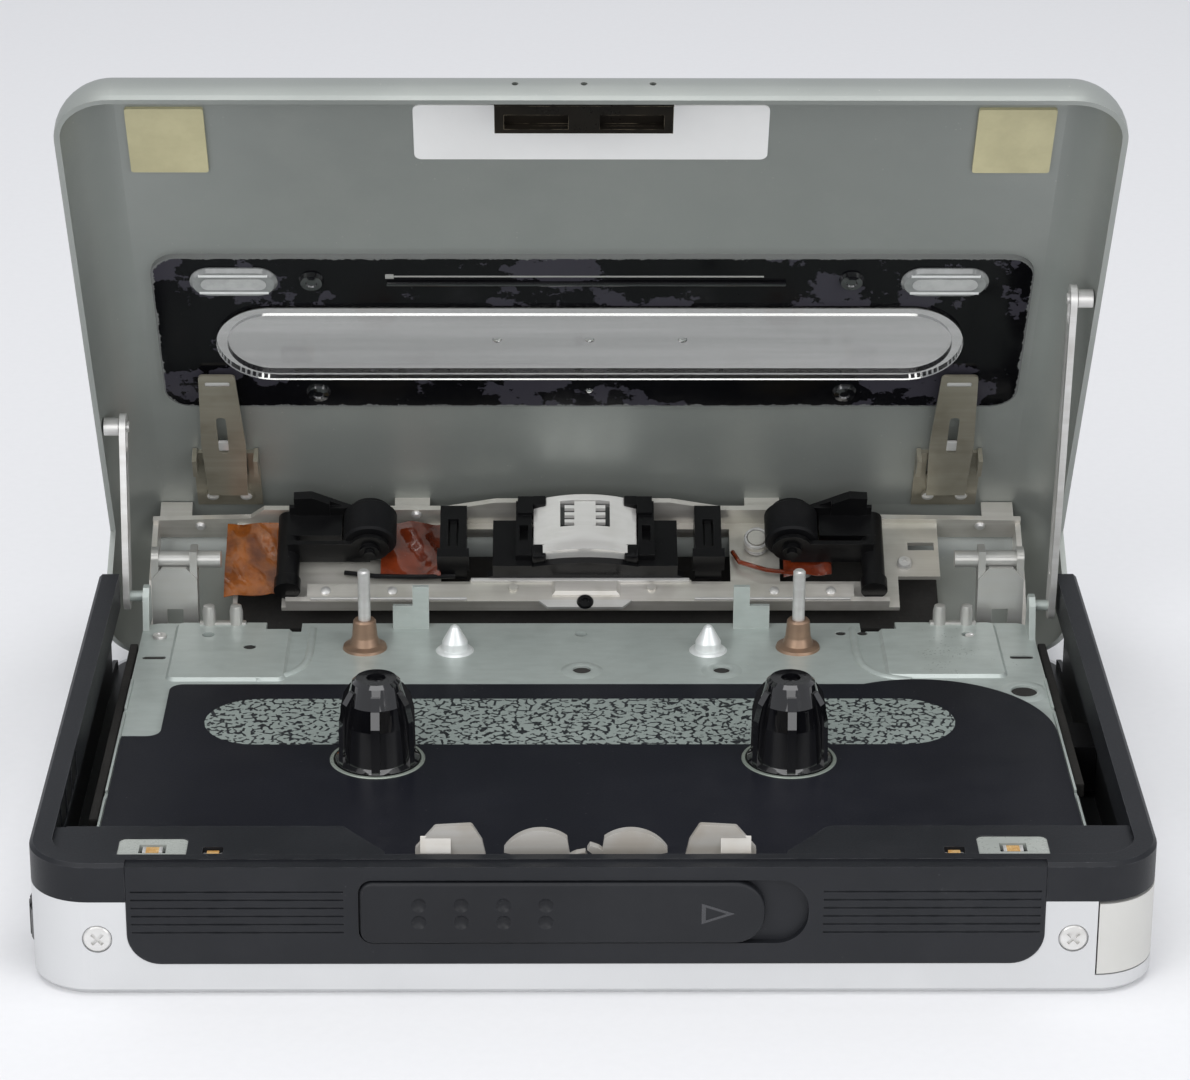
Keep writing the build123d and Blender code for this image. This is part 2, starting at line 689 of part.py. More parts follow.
def headphone_jack():
    # Socket block with its collar in the side wall.
    x1 = half - wall - 0.1
    block = slab(x1 - jack_depth + 1.1, x1, jack_y - 3.0, jack_y + 3.0, floor + 0.9, 6.9)
    block += rod_x(x1 - 0.1, half, jack_y, jack_z, 2.5)
    block -= rod_x(half - jack_depth, half + 1, jack_y, jack_z, jack_bore)
    return one(block)


def case_screws():
    # Cross-recessed screws: two in the front and four in the floor.
    screws = []
    for x in screw_centres():
        screw = rod_y(front - 0.05, front + 0.35, x, screw_z, 1.35)
        screw = chamfer(screw.edges().group_by(Axis.Y)[0], 0.15)
        screw += rod_y(front + 0.3, front + 2.4, x, screw_z, 0.7)
        for angle in (45, 135):
            screw -= Pos(x, front, screw_z) * Rot(0, angle, 0) * Box(1.5, 0.5, 0.35)
        screws.append(screw)
    for x in (-20, 20):
        for y in (-26, 26):
            screw = rod(x, y, 0.02, 0.25, 1.2)
            for angle in (45, 135):
                screw -= Pos(x, y, 0) * Rot(0, 0, angle) * Box(1.3, 0.3, 0.3)
            screws.append(screw)
    return Compound(screws)


def battery_door():
    # Curved end cap: the case wall's own corner, turning on a barrel at its rear edge.
    shell = case_block(0, door_bottom + door_gap, door_top - door_gap) - case_block(wall, 0, lower_height)
    keep = slab(door_front_edge + door_gap, half + 1, front - 1, door_axis[1], 0, lower_height)
    body = shell & keep
    body += rod(*door_axis, door_bottom + door_gap, door_top - door_gap, door_barrel)
    body += rod(*door_axis, door_bottom - 0.55, door_top + 0.6, door_pin_radius)
    rib = slab(half - wall - 0.8, half - wall + 0.1, -33.0, -23.0, 5.6, 6.3)
    return one(body + rib)


def volume_wheel():
    # Thumb wheel whose knurled rim stands out of the left wall.
    z1 = wheel_bottom + wheel_width
    body = rod(*wheel_centre, wheel_bottom, z1, wheel_radius)
    body = chamfer(body.edges().filter_by(GeomType.CIRCLE), 0.35)
    for i in range(wheel_notches):
        angle = 2 * pi * i / wheel_notches
        body -= rod(wheel_centre[0] + wheel_radius * cos(angle), wheel_centre[1] + wheel_radius * sin(angle),
                    wheel_bottom - 1, z1 + 1, 0.3)
    body -= rod(*wheel_centre, wheel_bottom - 1, z1 + 1, 1.5 + shaft_clearance)
    return one(body)


def key(index):
    # Side key: a rounded cap with a flange that keeps it in the frame.
    y = key_first_y + index * key_pitch
    cap = slab(-half - key_proud, -half + 1.9, y - key_size[0] / 2, y + key_size[0] / 2,
               key_z - key_size[1] / 2, key_z + key_size[1] / 2)
    cap = fillet(cap.edges().group_by(Axis.X)[0], 0.25)
    flange = slab(-half + 1.55, -half + 2.1, y - key_size[0] / 2 - 0.35, y + key_size[0] / 2 + 0.35,
                  key_z - key_size[1] / 2 - 0.35, key_z + key_size[1] / 2 + 0.35)
    return one(cap + flange)


def hinge_brackets():
    return Compound([hinge_bracket(side) for side in sides])


def hinge_bracket(side):
    # Steel bracket on the case floor: a foot, an ear for the hinge pin and a carrier for the guide rod.
    x_out, x_in = side * 48.7, side * 43.6
    x0, x1 = min(x_out, x_in), max(x_out, x_in)
    ear = polygon((34.6, floor), (36.2, floor), (37.0, 2.4), (38.75, 4.0), (38.3, 6.2), (37.4, 15.2),
                  (35.0, 15.2))
    ear = fillet(ear.vertices().sort_by(Axis.Y)[-2:], 1.0) + Pos(hinge_y, hinge_height) * Circle(1.05)
    outer = sorted((x_out, x_out - side * 0.8))
    body = side_plate(ear, outer[0], outer[1])
    body += slab(x0, x1, 32.6, 35.2, floor, floor + 0.6)
    front_face = polygon((x0, floor), (x1, floor), (x1, 12.0), (x1 - 1.2, 13.4), (x0 + 1.2, 13.4), (x0, 12.0))
    body += front_plate(front_face, 34.6, 35.2)
    body -= slab((x0 + x1) / 2 - 0.9, (x0 + x1) / 2 + 0.9, 34, 36, 4.0, 8.5)
    inner = sorted((x_in, x_in + side * 0.8))
    post = polygon((34.6, floor), (36.2, floor), (37.4, 15.2), (35.0, 15.2))
    body += side_plate(post, inner[0], inner[1])
    body += rod_x(*sorted((side * 48.3, side * 41.0)), 36.2, 13.9, 0.95)
    body -= rod_x(*sorted((side * 50, side * 47)), hinge_y, hinge_height, hinge_pin_radius)
    return one(body)


def hinge_pins():
    # Headed rivets through the ears; the lid's cheeks turn on their outer ends.
    pins = []
    for side in sides:
        pin = rod_x(*sorted((side * 47.6, side * 49.7)), hinge_y, hinge_height, hinge_pin_radius)
        pin += rod_x(*sorted((side * 47.4, side * 47.9)), hinge_y, hinge_height, 0.95)
        pins.append(pin)
    return Compound(pins)


def lid_shell():
    # Pressed metal dish with a deep rear wall that forms the back of the case.
    body = case_block(0, lid_tail_bottom, lid_top)
    body = fillet(edges_at(body, lid_top), lid_edge_radius)
    hollow = case_block(lid_sheet, lid_tail_bottom - 1, lid_inner)
    hollow = fillet(edges_at(hollow, lid_inner), lid_edge_radius - lid_sheet)
    body -= hollow
    body -= slab(-half - 1, half + 1, front - 1, lid_tail_front, 0, lid_rim)
    x, y = window_centre
    cut = (window_length - 2 * window_flange, window_width - 2 * window_flange)
    body -= plan_slab(x, y, *cut, window_radius - 1, lid_inner - 1, lid_top + 1)
    for hole in (-7.7, -0.8, 6.1):
        body -= rod_y(front - 1, front + 1.5, hole, lid_rim + 2.6, 0.35)
    return one(body)


def window_panel():
    # Black glossy window surround, flush outside, with a flange inside the lid.
    x, y = window_centre
    step = window_flange + 0.1
    flush = (window_length - 2 * step, window_width - 2 * step)
    body = plan_slab(x, y, window_length, window_width, window_radius, lid_inner - 0.6, lid_inner)
    body += plan_slab(x, y, *flush, window_radius - 1.1, lid_inner, lid_top)
    body -= plan_slab(mechanism_x + 0.9, lens_centre_y, lens_length, lens_width, lens_width / 2 - 0.01, 0, 30)
    for side in sides:
        body -= plan_slab(side * prism_offset, prism_y, prism_length, prism_width, prism_width / 2 - 0.01,
                          lid_inner - 1, lid_inner)
    return one(body)


def window_lens():
    # Clear oval window with a raised rim inside.
    x, r = mechanism_x + 0.9, lens_width / 2 - 0.01
    body = plan_slab(x, lens_centre_y, lens_length, lens_width, r, lid_inner - 1.0, lid_top)
    hollow = (lens_length - 2 * lens_rim, lens_width - 2 * lens_rim)
    body -= plan_slab(x, lens_centre_y, *hollow, hollow[1] / 2 - 0.01, lid_inner - 2, lid_inner - 0.3)
    return one(body)


def light_prisms():
    # Two clear round-ended bars beside the window.
    bars = []
    for side in sides:
        bar = plan_slab(side * prism_offset, prism_y, prism_length, prism_width, prism_width / 2 - 0.01,
                        lid_inner - 1.1, lid_inner)
        bar = chamfer(bar.edges().group_by(Axis.Z)[0], 0.35)
        bars.append(bar)
    return Compound(bars)


def catch_strip():
    # Bent strip inside the front wall with a slot for each hook.
    inner = front + lid_sheet
    strip = slab(-9.8, 8.2, inner + 0.12, inner + 0.5, lid_rim + 0.2, 15.5)
    strip += slab(-9.8, 8.2, inner + 0.12, hook_y + hook_sheet + 1.2, 15.0, 15.5)
    for side in sides:
        outer = mechanism_x + side * (hook_pivot_half + hook_nose + hook_slot_gap)
        inner_end = mechanism_x + side * (hook_pivot_half - hook_reach * 0.6 - hook_slot_gap)
        strip -= slab(*sorted((outer, inner_end)), hook_y - 0.6, hook_y + hook_sheet + 0.6, 14, 16)
    return one(strip)


def lid_pads():
    pads = []
    for side in sides:
        pads.append(plan_slab(side * pad_offset, pad_y, *pad_size, 0.3, lid_inner - 0.35, lid_inner))
    return Compound(pads)


def blank_label():
    return plan_slab(0, label_y, *label_size, 0.8, lid_inner - 0.12, lid_inner)


def mechanism_frame():
    # Sheet-metal carrier in the lid: top flange, rear web, lower lip and a cheek for each hinge pin.
    edge = [(-49.6, 33.6), (-38.4, 33.2), (-36.8, 31.6), (-16.0, 31.6), (-10.4, 30.2), (9.4, 30.2),
            (15.0, 31.6), (28.0, 31.6), (30.0, 33.2), (49.6, 33.6), (49.6, 36.8), (-49.6, 36.8)]
    body = Pos(0, 0, 17.0) * extrude(polygon(*edge), 0.6)
    web = slab(-frame_web_half, frame_web_half, frame_web_y, frame_web_y + 0.6, 5.2, 17.1)
    web -= slab(-16.6, 16.2, frame_web_y - 1, frame_web_y + 1, 8.8, 16.2)
    web -= slab(21.8, 33.2, frame_web_y - 1, frame_web_y + 1, 8.8, 16.2)
    web -= slab(-39.5, -34.5, frame_web_y - 1, frame_web_y + 1, 4.0, 9.0)
    web -= slab(35.2, 41.0, frame_web_y - 1, frame_web_y + 1, 4.0, 9.5)
    web -= slab(36.5, 39.5, frame_web_y - 1, frame_web_y + 1, 13.2, 14.3)
    body += web
    body += slab(-34.0, 34.0, 33.0, frame_web_y + 0.6, 5.2, 5.8)
    lip = slab(-31.6, 30.0, 33.0, 33.6, 5.2, 7.6) + slab(-13.3, 11.7, 33.0, 33.6, 5.2, 8.15)
    body += lip
    # A raised pad and two rivets in the lip below the head.
    pad = slab(-4.0, 3.6, 32.5, 33.1, 5.9, 7.9)
    body += chamfer(pad.edges().group_by(Axis.Y)[0], 0.35)
    for x in (-8.4, 7.2):
        body += rod_y(32.7, 33.1, x, 7.0, 0.5)
    for side in sides:
        cheek = polygon((34.2, 9.0), (36.9, 2.2), (38.75, 2.2), (38.75, 15.4), (37.4, 17.6), (34.2, 17.6))
        cheek = fillet(cheek.vertices().group_by(Axis.Y)[0], 0.6)
        x = sorted((side * 49.0, side * 49.6))
        body += side_plate(cheek, x[0], x[1])
        bore = hinge_pin_radius + shaft_clearance
        body -= rod_x(x[0] - 0.7, x[1] + 0.7, hinge_y, hinge_height, bore)
        body += slab(side * 47.0 - 1.8, side * 47.0 + 1.8, 33.7, 34.3, 17.5, lid_inner - 0.1)
        body += slab(side * 20.0 - 2, side * 20.0 + 2, 33.0, 34.1, 17.5, lid_inner)
    return one(body)


def hold_down_springs():
    return Compound([OPEN * hold_down_spring(side) for side in sides])


def hold_down_spring(side):
    # Riveted bracket under the lid with a long leaf that presses on the cassette.
    x = side * spring_offset
    base = slab(x - 3.7, x + 3.7, 24.0, 33.6, lid_inner - 0.5, lid_inner)
    base -= slab(x - 2.4, x + 2.4, 25.2, 28.0, 17, 20)
    for ear in sides:
        edge = x + ear * 3.45
        base += slab(edge - 0.25, edge + 0.25, 23.6, 26.4, spring_z - 0.5, lid_inner - 0.1)
        base += Pos(x + ear * 1.9, 31.6, lid_inner - 0.6) * Cylinder(0.75, 0.5)
    leaf = polygon((x - 2.0, 9.0), (x + 2.0, 9.0), (x + 2.5, 21.3), (x + 2.2, 30.5), (x - 2.2, 30.5),
                   (x - 2.5, 21.3))
    leaf = fillet(leaf.vertices().group_by(Axis.Y)[0], 0.5)
    plate = Pos(0, 0, spring_z) * extrude(leaf, spring_sheet)
    plate -= plan_slab(x, 10.4, 2.8, 0.7, 0.3, 16, 20)
    plate -= plan_slab(x, 19.5, 1.1, 6.4, 0.5, 16, 20)
    plate += slab(x - 2.2, x + 2.2, 28.6, 30.5, spring_z, lid_inner - 0.4)
    return one(base + plate)


def tape_head():
    # Head with a gently domed face, a lip along its lower edge and a window with its gap bars.
    half_width = head_width / 2
    rad = (half_width ** 2 + head_dome ** 2) / (2 * head_dome)
    band = slab(head_x - half_width, head_x + half_width, head_front - 1, head_front + 2.6, 0, 30)
    body = rod(head_x, head_front + rad, head_bottom, head_top, rad) & band
    body += rod(head_x, head_front - 0.3 + rad, head_bottom, head_bottom + 1.1, rad) & band
    body += slab(head_x - 4.6, head_x + 4.6, head_front + 2.0, frame_web_y - 0.4, head_bottom, head_top - 0.6)
    z, back = head_bottom + 5.3, head_front + 0.9
    body -= slab(head_x - 2.8, head_x + 2.8, head_front - 1, back - 0.1, z - 1.8, z + 1.8)
    body += slab(head_x - 1.2, head_x + 1.2, head_front + 0.15, back, z - 1.7, z + 1.7)
    for bar in (z - 1, z, z + 1):
        body += slab(head_x - 2.3, head_x + 2.3, head_front + 0.25, back, bar - 0.22, bar + 0.22)
    return one(body)


def head_mount():
    # Black moulded carrier with tape forks either side of the head.
    y = frame_web_y
    outline = (Line((-11.0, 32.6), (-11.0, y)) + Line((-11.0, y), (11.2, y)) + Line((11.2, y), (11.2, 32.6))
               + ThreePointArc((11.2, 32.6), (0, 29.8), (-11.0, 32.6)))
    body = Pos(head_x, 0, head_bottom - 0.8) * extrude(make_face(outline), 0.8)
    for side in sides:
        x = head_x + side * 8.2
        body += slab(x - 2.2, x + 2.2, 30.4, frame_web_y, head_bottom - 0.8, 14.6)
        body += slab(x - side * 1.3 - 0.9, x - side * 1.3 + 0.9, 29.4, frame_web_y, head_bottom, 16.6)
        body -= slab(x - side * 1.3 - 0.5, x - side * 1.3 + 0.5, 29.0, 30.6, 11.0, 13.2)
        body += slab(*sorted((x - side * 2.3, x - side * 0.6)), 28.9, 30.2, 14.6, 16.9)
    return one(body)


def tape_guides():
    # Black stepped posts outside the head carrier.
    posts = []
    for side in sides:
        x = mechanism_x + side * 14.4
        post = slab(x - 1.5, x + 1.5, 30.4, frame_web_y, 9.2, 16.7)
        post -= slab(x - 0.6, x + 0.6, 30.0, 31.4, 11.0, 14.8)
        post += slab(x - 1.8, x + 1.8, 30.0, 32.6, 9.2, 10.4)
        post += slab(x - 0.35, x + 0.35, 30.9, 31.5, 10.9, 15.6)
        posts.append(one(post))
    return Compound(posts)


def azimuth_screw():
    # Small screw with its spring seat, right of the head.
    profile = [(0, 0), (1.0, 0), (1.0, 0.5), (1.45, 0.5), (1.45, 0.9), (0.7, 0.9), (0.7, 1.9), (0, 1.9)]
    body = Rot(90, 0, 0) * revolve(Plane.XZ * polygon(*profile), Axis.Z)
    body = Pos(17.9 + 1.3, frame_web_y - 1.9, 13.6) * Rot(0, 0, 180) * body
    return body


def pinch_arm(side):
    # Black lever on an upright post; it carries the roller's pin.
    px = mechanism_x + side * arm_pivot_offset
    rx = mechanism_x + side * capstan_spacing / 2
    ry = capstan_y + roller_lift
    z0, z1 = roller_bottom - 0.8, roller_bottom + roller_length + 0.7
    body = rod(px, arm_pivot_y, 6.0, z1, 1.3)
    body += rod(px, arm_pivot_y, 5.9, 7.4, arm_foot_radius)
    x0, x1 = sorted((px, rx + side * (roller_radius + 0.2)))
    body += slab(x0, x1, arm_pivot_y - 1.3, arm_pivot_y + 1.2, z0 + 2.2, z1)
    for z in (z0, z1 - 0.5):
        a, b = sorted((px, rx))
        cover = slab(a, b, arm_pivot_y - 2.6, arm_pivot_y + 0.8, z, z + 0.5) + rod(rx, ry, z, z + 0.5, 2.2)
        body += cover
    body += rod(rx, ry, z0 - 0.9, z1, 0.6) + rod(rx, ry, z0 - 0.5, z0 + 0.1, 1.1)
    lever = polygon((px - side * 0.6, 27.6), (px - side * 2.6, 27.4), (rx + side * 0.4, 31.0),
                    (rx + side * 0.4, 32.8), (px - side * 0.6, 32.8))
    body += Pos(0, 0, z1 - 0.1) * extrude(lever, 0.5)
    under = slab(*sorted((px, px - side * 4.6)), 27.4, 33.0, z1 - 0.6, z1 + 0.05)
    body += under & Pos(0, 0, z1 - 0.6) * extrude(lever, 1)
    return one(body)


def pinch_roller(side):
    rx = mechanism_x + side * capstan_spacing / 2
    ry = capstan_y + roller_lift
    body = rod(rx, ry, roller_bottom, roller_bottom + roller_length, roller_radius)
    body = chamfer(body.edges().filter_by(GeomType.CIRCLE), 0.25)
    for z in (roller_bottom, roller_bottom + roller_length):
        body -= rod(rx, ry, z - 0.3, z + 0.3, 1.8) - rod(rx, ry, z - 1, z + 1, 1.1)
    body -= rod(rx, ry, 0, 30, 0.6 + shaft_clearance)
    return one(body)


def flex_film():
    # Amber flexible circuit behind the left pinch arm.
    film = slab(-40.4, -17.0, frame_web_y - 0.35, frame_web_y - 0.2, 8.4, 16.2)
    film -= slab(-40.6, -38.2, 33, 35, 8.0, 10.6)
    film += slab(-38.0, -35.0, frame_web_y - 0.35, frame_web_y - 0.2, 5.9, 8.5)
    return one(film)


def link_foot(side):
    # The foot lies on the line that halves the lid pin's swing, so the link fits both ends of it.
    y, z = link_pin_y[side > 0] - hinge_y, link_pin_z - hinge_height
    middle = atan2(z, y) - radians(open_angle) / 2
    reach = (link_foot_z - hinge_height) / sin(middle)
    return hinge_y + reach * cos(middle), link_foot_z


def stay_link(side):
    # Thin lever from the lid's side pin down to its foot, with a short slot for the pin.
    pin = (OPEN * Pos(0, link_pin_y[side > 0], link_pin_z)).position
    top, foot = (pin.Y, pin.Z), link_foot(side)
    reach = ((top[0] - foot[0]) ** 2 + (top[1] - foot[1]) ** 2) ** 0.5
    turn = atan2(top[1] - foot[1], top[0] - foot[0]) * 180 / pi
    bar = Pos(reach / 2, 0) * SlotOverall(reach + link_width, link_width)
    slot = 2 * (link_pin_radius + link_slot_gap)
    bar -= Pos(reach - link_slot_run / 2, 0) * SlotOverall(link_slot_run + slot, slot)
    bar -= Circle(link_pin_radius + shaft_clearance)
    waist = Pos(reach / 2, 0) * SlotOverall(reach - 8.0, 0.5)
    bar = Pos(*foot) * Rot(0, 0, turn) * (bar - waist)
    x = sorted((side * (link_x - link_sheet / 2), side * (link_x + link_sheet / 2)))
    return one(side_plate(bar, x[0], x[1]))


def link_pins():
    # Shouldered pins on the lid's side walls for the stay links.
    pins = []
    for side in sides:
        wall_x, y = side * (half - lid_sheet - 0.22), link_pin_y[side > 0]
        pin = rod_x(*sorted((wall_x, side * (link_x - link_sheet / 2 - 0.3))), y, link_pin_z, link_pin_radius)
        pin += rod_x(*sorted((wall_x, side * (link_x + link_sheet / 2 + 0.15))), y, link_pin_z, 1.0)
        pins.append(OPEN * pin)
    return Compound(pins)


def save(name, shape):
    export_step(shape, f"parts/{name}.step")


os.makedirs("parts", exist_ok=True)

save("lower_case", lower_case())
save("middle_frame", middle_frame())
save("front_panel", front_panel())
save("open_knob", open_knob())
save("latch_slide", latch_slide())
save("latch_bracket", latch_bracket())
save("indicator_lenses", indicator_lenses())
save("indicator_lamps", indicator_lamps())
save("chassis_plate", chassis_plate())
save("label_plate", label_plate())
save("capstan_bearings", capstan_bearings())
save("locating_pins", locating_pins())
save("drive_motor", drive_motor())
save("motor_pulley", motor_pulley())
save("idler_post", idler_post())
save("idler_pulley", idler_pulley())
save("drive_belt", drive_belt())
save("main_board", main_board())
save("battery_contact", battery_contact())
save("headphone_jack", headphone_jack())
save("case_screws", case_screws())
save("battery_door", battery_door())
save("volume_wheel", volume_wheel())
save("hinge_brackets", hinge_brackets())
save("hinge_pins", hinge_pins())
save("hold_down_springs", hold_down_springs())
for index, name in enumerate(("rewind_key", "stop_key", "play_key", "forward_key")):
    save(name, key(index))
for side, word in zip(sides, ("left", "right")):
    reel_x = left_reel if side < 0 else right_reel
    capstan_x = left_capstan if side < 0 else right_capstan
    save(f"latch_hook_{word}", latch_hook(side))
    save(f"reel_spindle_{word}", reel_spindle(reel_x))
    save(f"reel_gear_{word}", reel_gear(reel_x))
    save(f"capstan_shaft_{word}", capstan_shaft(capstan_x))
    save(f"flywheel_{word}", flywheel(capstan_x))
    save(f"pinch_arm_{word}", OPEN * pinch_arm(side))
    save(f"pinch_roller_{word}", OPEN * pinch_roller(side))
    save(f"stay_link_{word}", stay_link(side))
save("lid_shell", OPEN * lid_shell())
save("window_panel", OPEN * window_panel())
save("window_lens", OPEN * window_lens())
save("light_prisms", OPEN * light_prisms())
save("catch_strip", OPEN * catch_strip())
save("lid_pads", OPEN * lid_pads())
save("blank_label", OPEN * blank_label())
save("mechanism_frame", OPEN * mechanism_frame())
save("tape_head", OPEN * tape_head())
save("head_mount", OPEN * head_mount())
save("tape_guides", OPEN * tape_guides())
save("azimuth_screw", OPEN * azimuth_screw())
save("flex_film", OPEN * flex_film())
save("link_pins", link_pins())
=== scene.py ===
"""Looks of a slim portable cassette player that lies on its base with its lid open.

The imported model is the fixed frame. This script dresses each of its nodes in a
procedural finish, adds the small fittings that the solids leave out, and sets the
floor, the lamps and the camera. Lengths are in millimetres in the player's own
frame and become metres at the last step.
"""

import json
import logging
import math
from dataclasses import dataclass, field
from enum import Enum
from typing import Callable, Iterable, Sequence

import bmesh
import bpy
from mathutils import Matrix, Vector, noise

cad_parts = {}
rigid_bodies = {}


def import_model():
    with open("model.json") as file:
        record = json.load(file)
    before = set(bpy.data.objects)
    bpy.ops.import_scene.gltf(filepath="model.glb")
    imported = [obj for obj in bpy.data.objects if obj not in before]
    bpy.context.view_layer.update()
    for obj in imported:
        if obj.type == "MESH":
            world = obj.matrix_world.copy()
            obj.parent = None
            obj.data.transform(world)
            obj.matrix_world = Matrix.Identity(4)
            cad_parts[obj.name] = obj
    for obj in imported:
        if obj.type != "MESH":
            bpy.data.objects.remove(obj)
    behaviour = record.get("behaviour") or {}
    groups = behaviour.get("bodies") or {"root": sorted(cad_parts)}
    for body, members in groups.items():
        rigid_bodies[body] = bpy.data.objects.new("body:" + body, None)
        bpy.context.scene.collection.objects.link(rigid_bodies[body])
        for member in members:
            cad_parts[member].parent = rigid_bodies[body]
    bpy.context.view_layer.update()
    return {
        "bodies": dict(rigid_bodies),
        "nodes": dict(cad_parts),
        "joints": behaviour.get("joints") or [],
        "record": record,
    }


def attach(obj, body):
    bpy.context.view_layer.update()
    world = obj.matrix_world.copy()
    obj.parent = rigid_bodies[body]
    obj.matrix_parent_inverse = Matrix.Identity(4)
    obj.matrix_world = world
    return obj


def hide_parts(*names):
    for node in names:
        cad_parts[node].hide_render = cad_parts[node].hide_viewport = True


LOG = logging.getLogger("cassette_player")

Colour = tuple[float, float, float]
Point = tuple[float, float, float]
Box = tuple[float, float, float, float]
Profile = Sequence[tuple[float, float]]
Spots = tuple[Point, ...]

MM = 0.001
PHOTO_WIDTH = 1190.0
SIDES = (-1, 1)
SPREAD = (0.3, 0.7)  # the part of a noise value's range that finishes use
GRAIN_DEPTH = 0.00005  # height of the grain's bumps, in metres
ON_AXIS = 1e-6  # a turned profile's radius below this is a point
SHARP_DEGREES = 35.0
EDGE_PROFILE = 0.6
WIRE_GUIDE = Vector((0.31, 0.17, 0.93))  # a direction that no wire runs along


class Body(Enum):
    """Moving bodies that the added fittings ride on."""

    BASE = "base"
    LID = "lid"
    HEAD = "head_carriage"
    KNOB = "open_knob"


class Effect(Enum):
    """Shader groups that several finishes share."""

    GRAIN = "fine_grain"
    WEAR = "edge_wear"
    DUST = "dust_and_smudges"
    STREAK = "rolled_streaks"


def rgba(colour: Colour) -> tuple[float, float, float, float]:
    """Return an opaque four-part colour."""
    return (*colour, 1.0)


class Sheet:
    """Thin layer over a node tree that adds and joins nodes."""

    def __init__(self, tree: bpy.types.NodeTree) -> None:
        """Keep the tree.

        Args:
            tree: node tree of a material or of a group.
        """
        self.tree = tree

    def add(self, kind: str, **values: object) -> bpy.types.Node:
        """Add a node and set its properties and unlinked inputs.

        Args:
            kind: Blender's node type name.
            **values: attribute values, or input values by socket name with
                underscores for spaces.

        Returns:
            The new node.
        """
        node = self.tree.nodes.new(kind)
        for name, value in values.items():
            if hasattr(node, name):
                setattr(node, name, value)
                continue
            label = name.replace("_", " ")
            sockets = [s for s in node.inputs if s.name.lower() == label.lower()]
            self.feed(sockets[0], value)
        return node

    def feed(self, socket: bpy.types.NodeSocket, value: object) -> None:
        """Link or set one input socket.

        Args:
            socket: the input to feed.
            value: an output socket, a number, a colour or a vector.
        """
        if isinstance(value, bpy.types.NodeSocket):
            self.tree.links.new(value, socket)
        elif isinstance(value, tuple) and len(value) == 3 and socket.type == "RGBA":
            socket.default_value = rgba(value)
        else:
            socket.default_value = value

    def math(self, operation: str, a: object, b: object = 0.0,
             clamp: bool = False) -> bpy.types.NodeSocket:
        """Add a math node.

        Args:
            operation: Blender's name of the operation.
            a: first operand.
            b: second operand.
            clamp: whether the result is kept between 0 and 1.

        Returns:
            The result's socket.
        """
        node = self.tree.nodes.new("ShaderNodeMath")
        node.operation = operation
        node.use_clamp = clamp
        self.feed(node.inputs[0], a)
        self.feed(node.inputs[1], b)
        return node.outputs[0]

    def ramp(self, value: object, low: float, high: float) -> bpy.types.NodeSocket:
        """Stretch a value from low..high to 0..1, with smooth ends.

        Args:
            value: the socket to stretch.
            low: value that becomes 0.
            high: value that becomes 1.

        Returns:
            The stretched value's socket.
        """
        node = self.tree.nodes.new("ShaderNodeMapRange")
        node.interpolation_type = "SMOOTHSTEP"
        self.feed(node.inputs["Value"], value)
        node.inputs["From Min"].default_value = low
        node.inputs["From Max"].default_value = high
        return node.outputs["Result"]

    def mix(self, factor: object, a: object, b: object) -> bpy.types.NodeSocket:
        """Mix two colours.

        Args:
            factor: share of the second colour.
            a: first colour or socket.
            b: second colour or socket.

        Returns:
            The mixed colour's socket.
        """
        node = self.tree.nodes.new("ShaderNodeMix")
        node.data_type = "RGBA"
        self.feed(node.inputs[0], factor)
        self.feed(node.inputs[6], a)
        self.feed(node.inputs[7], b)
        return node.outputs[2]

    def noise(self, scale: float, detail: float = 3.0, rough: float = 0.55,
              vector: object = None) -> bpy.types.NodeSocket:
        """Add a noise texture in the player's own coordinates.

        Args:
            scale: features per metre.
            detail: octaves.
            rough: how much the finer octaves count.
            vector: coordinates, or None for the object's own.

        Returns:
            The noise value's socket.
        """
        node = self.tree.nodes.new("ShaderNodeTexNoise")
        self.feed(node.inputs["Vector"], self.place() if vector is None else vector)
        self.feed(node.inputs["Scale"], scale)
        node.inputs["Detail"].default_value = detail
        node.inputs["Roughness"].default_value = rough
        return node.outputs["Fac"]

    def place(self) -> bpy.types.NodeSocket:
        """Find or add the texture coordinates' node.

        Returns:
            The object coordinates' socket.
        """
        found = [n for n in self.tree.nodes if n.bl_idname == "ShaderNodeTexCoord"]
        node = found[0] if found else self.tree.nodes.new("ShaderNodeTexCoord")
        return node.outputs["Object"]


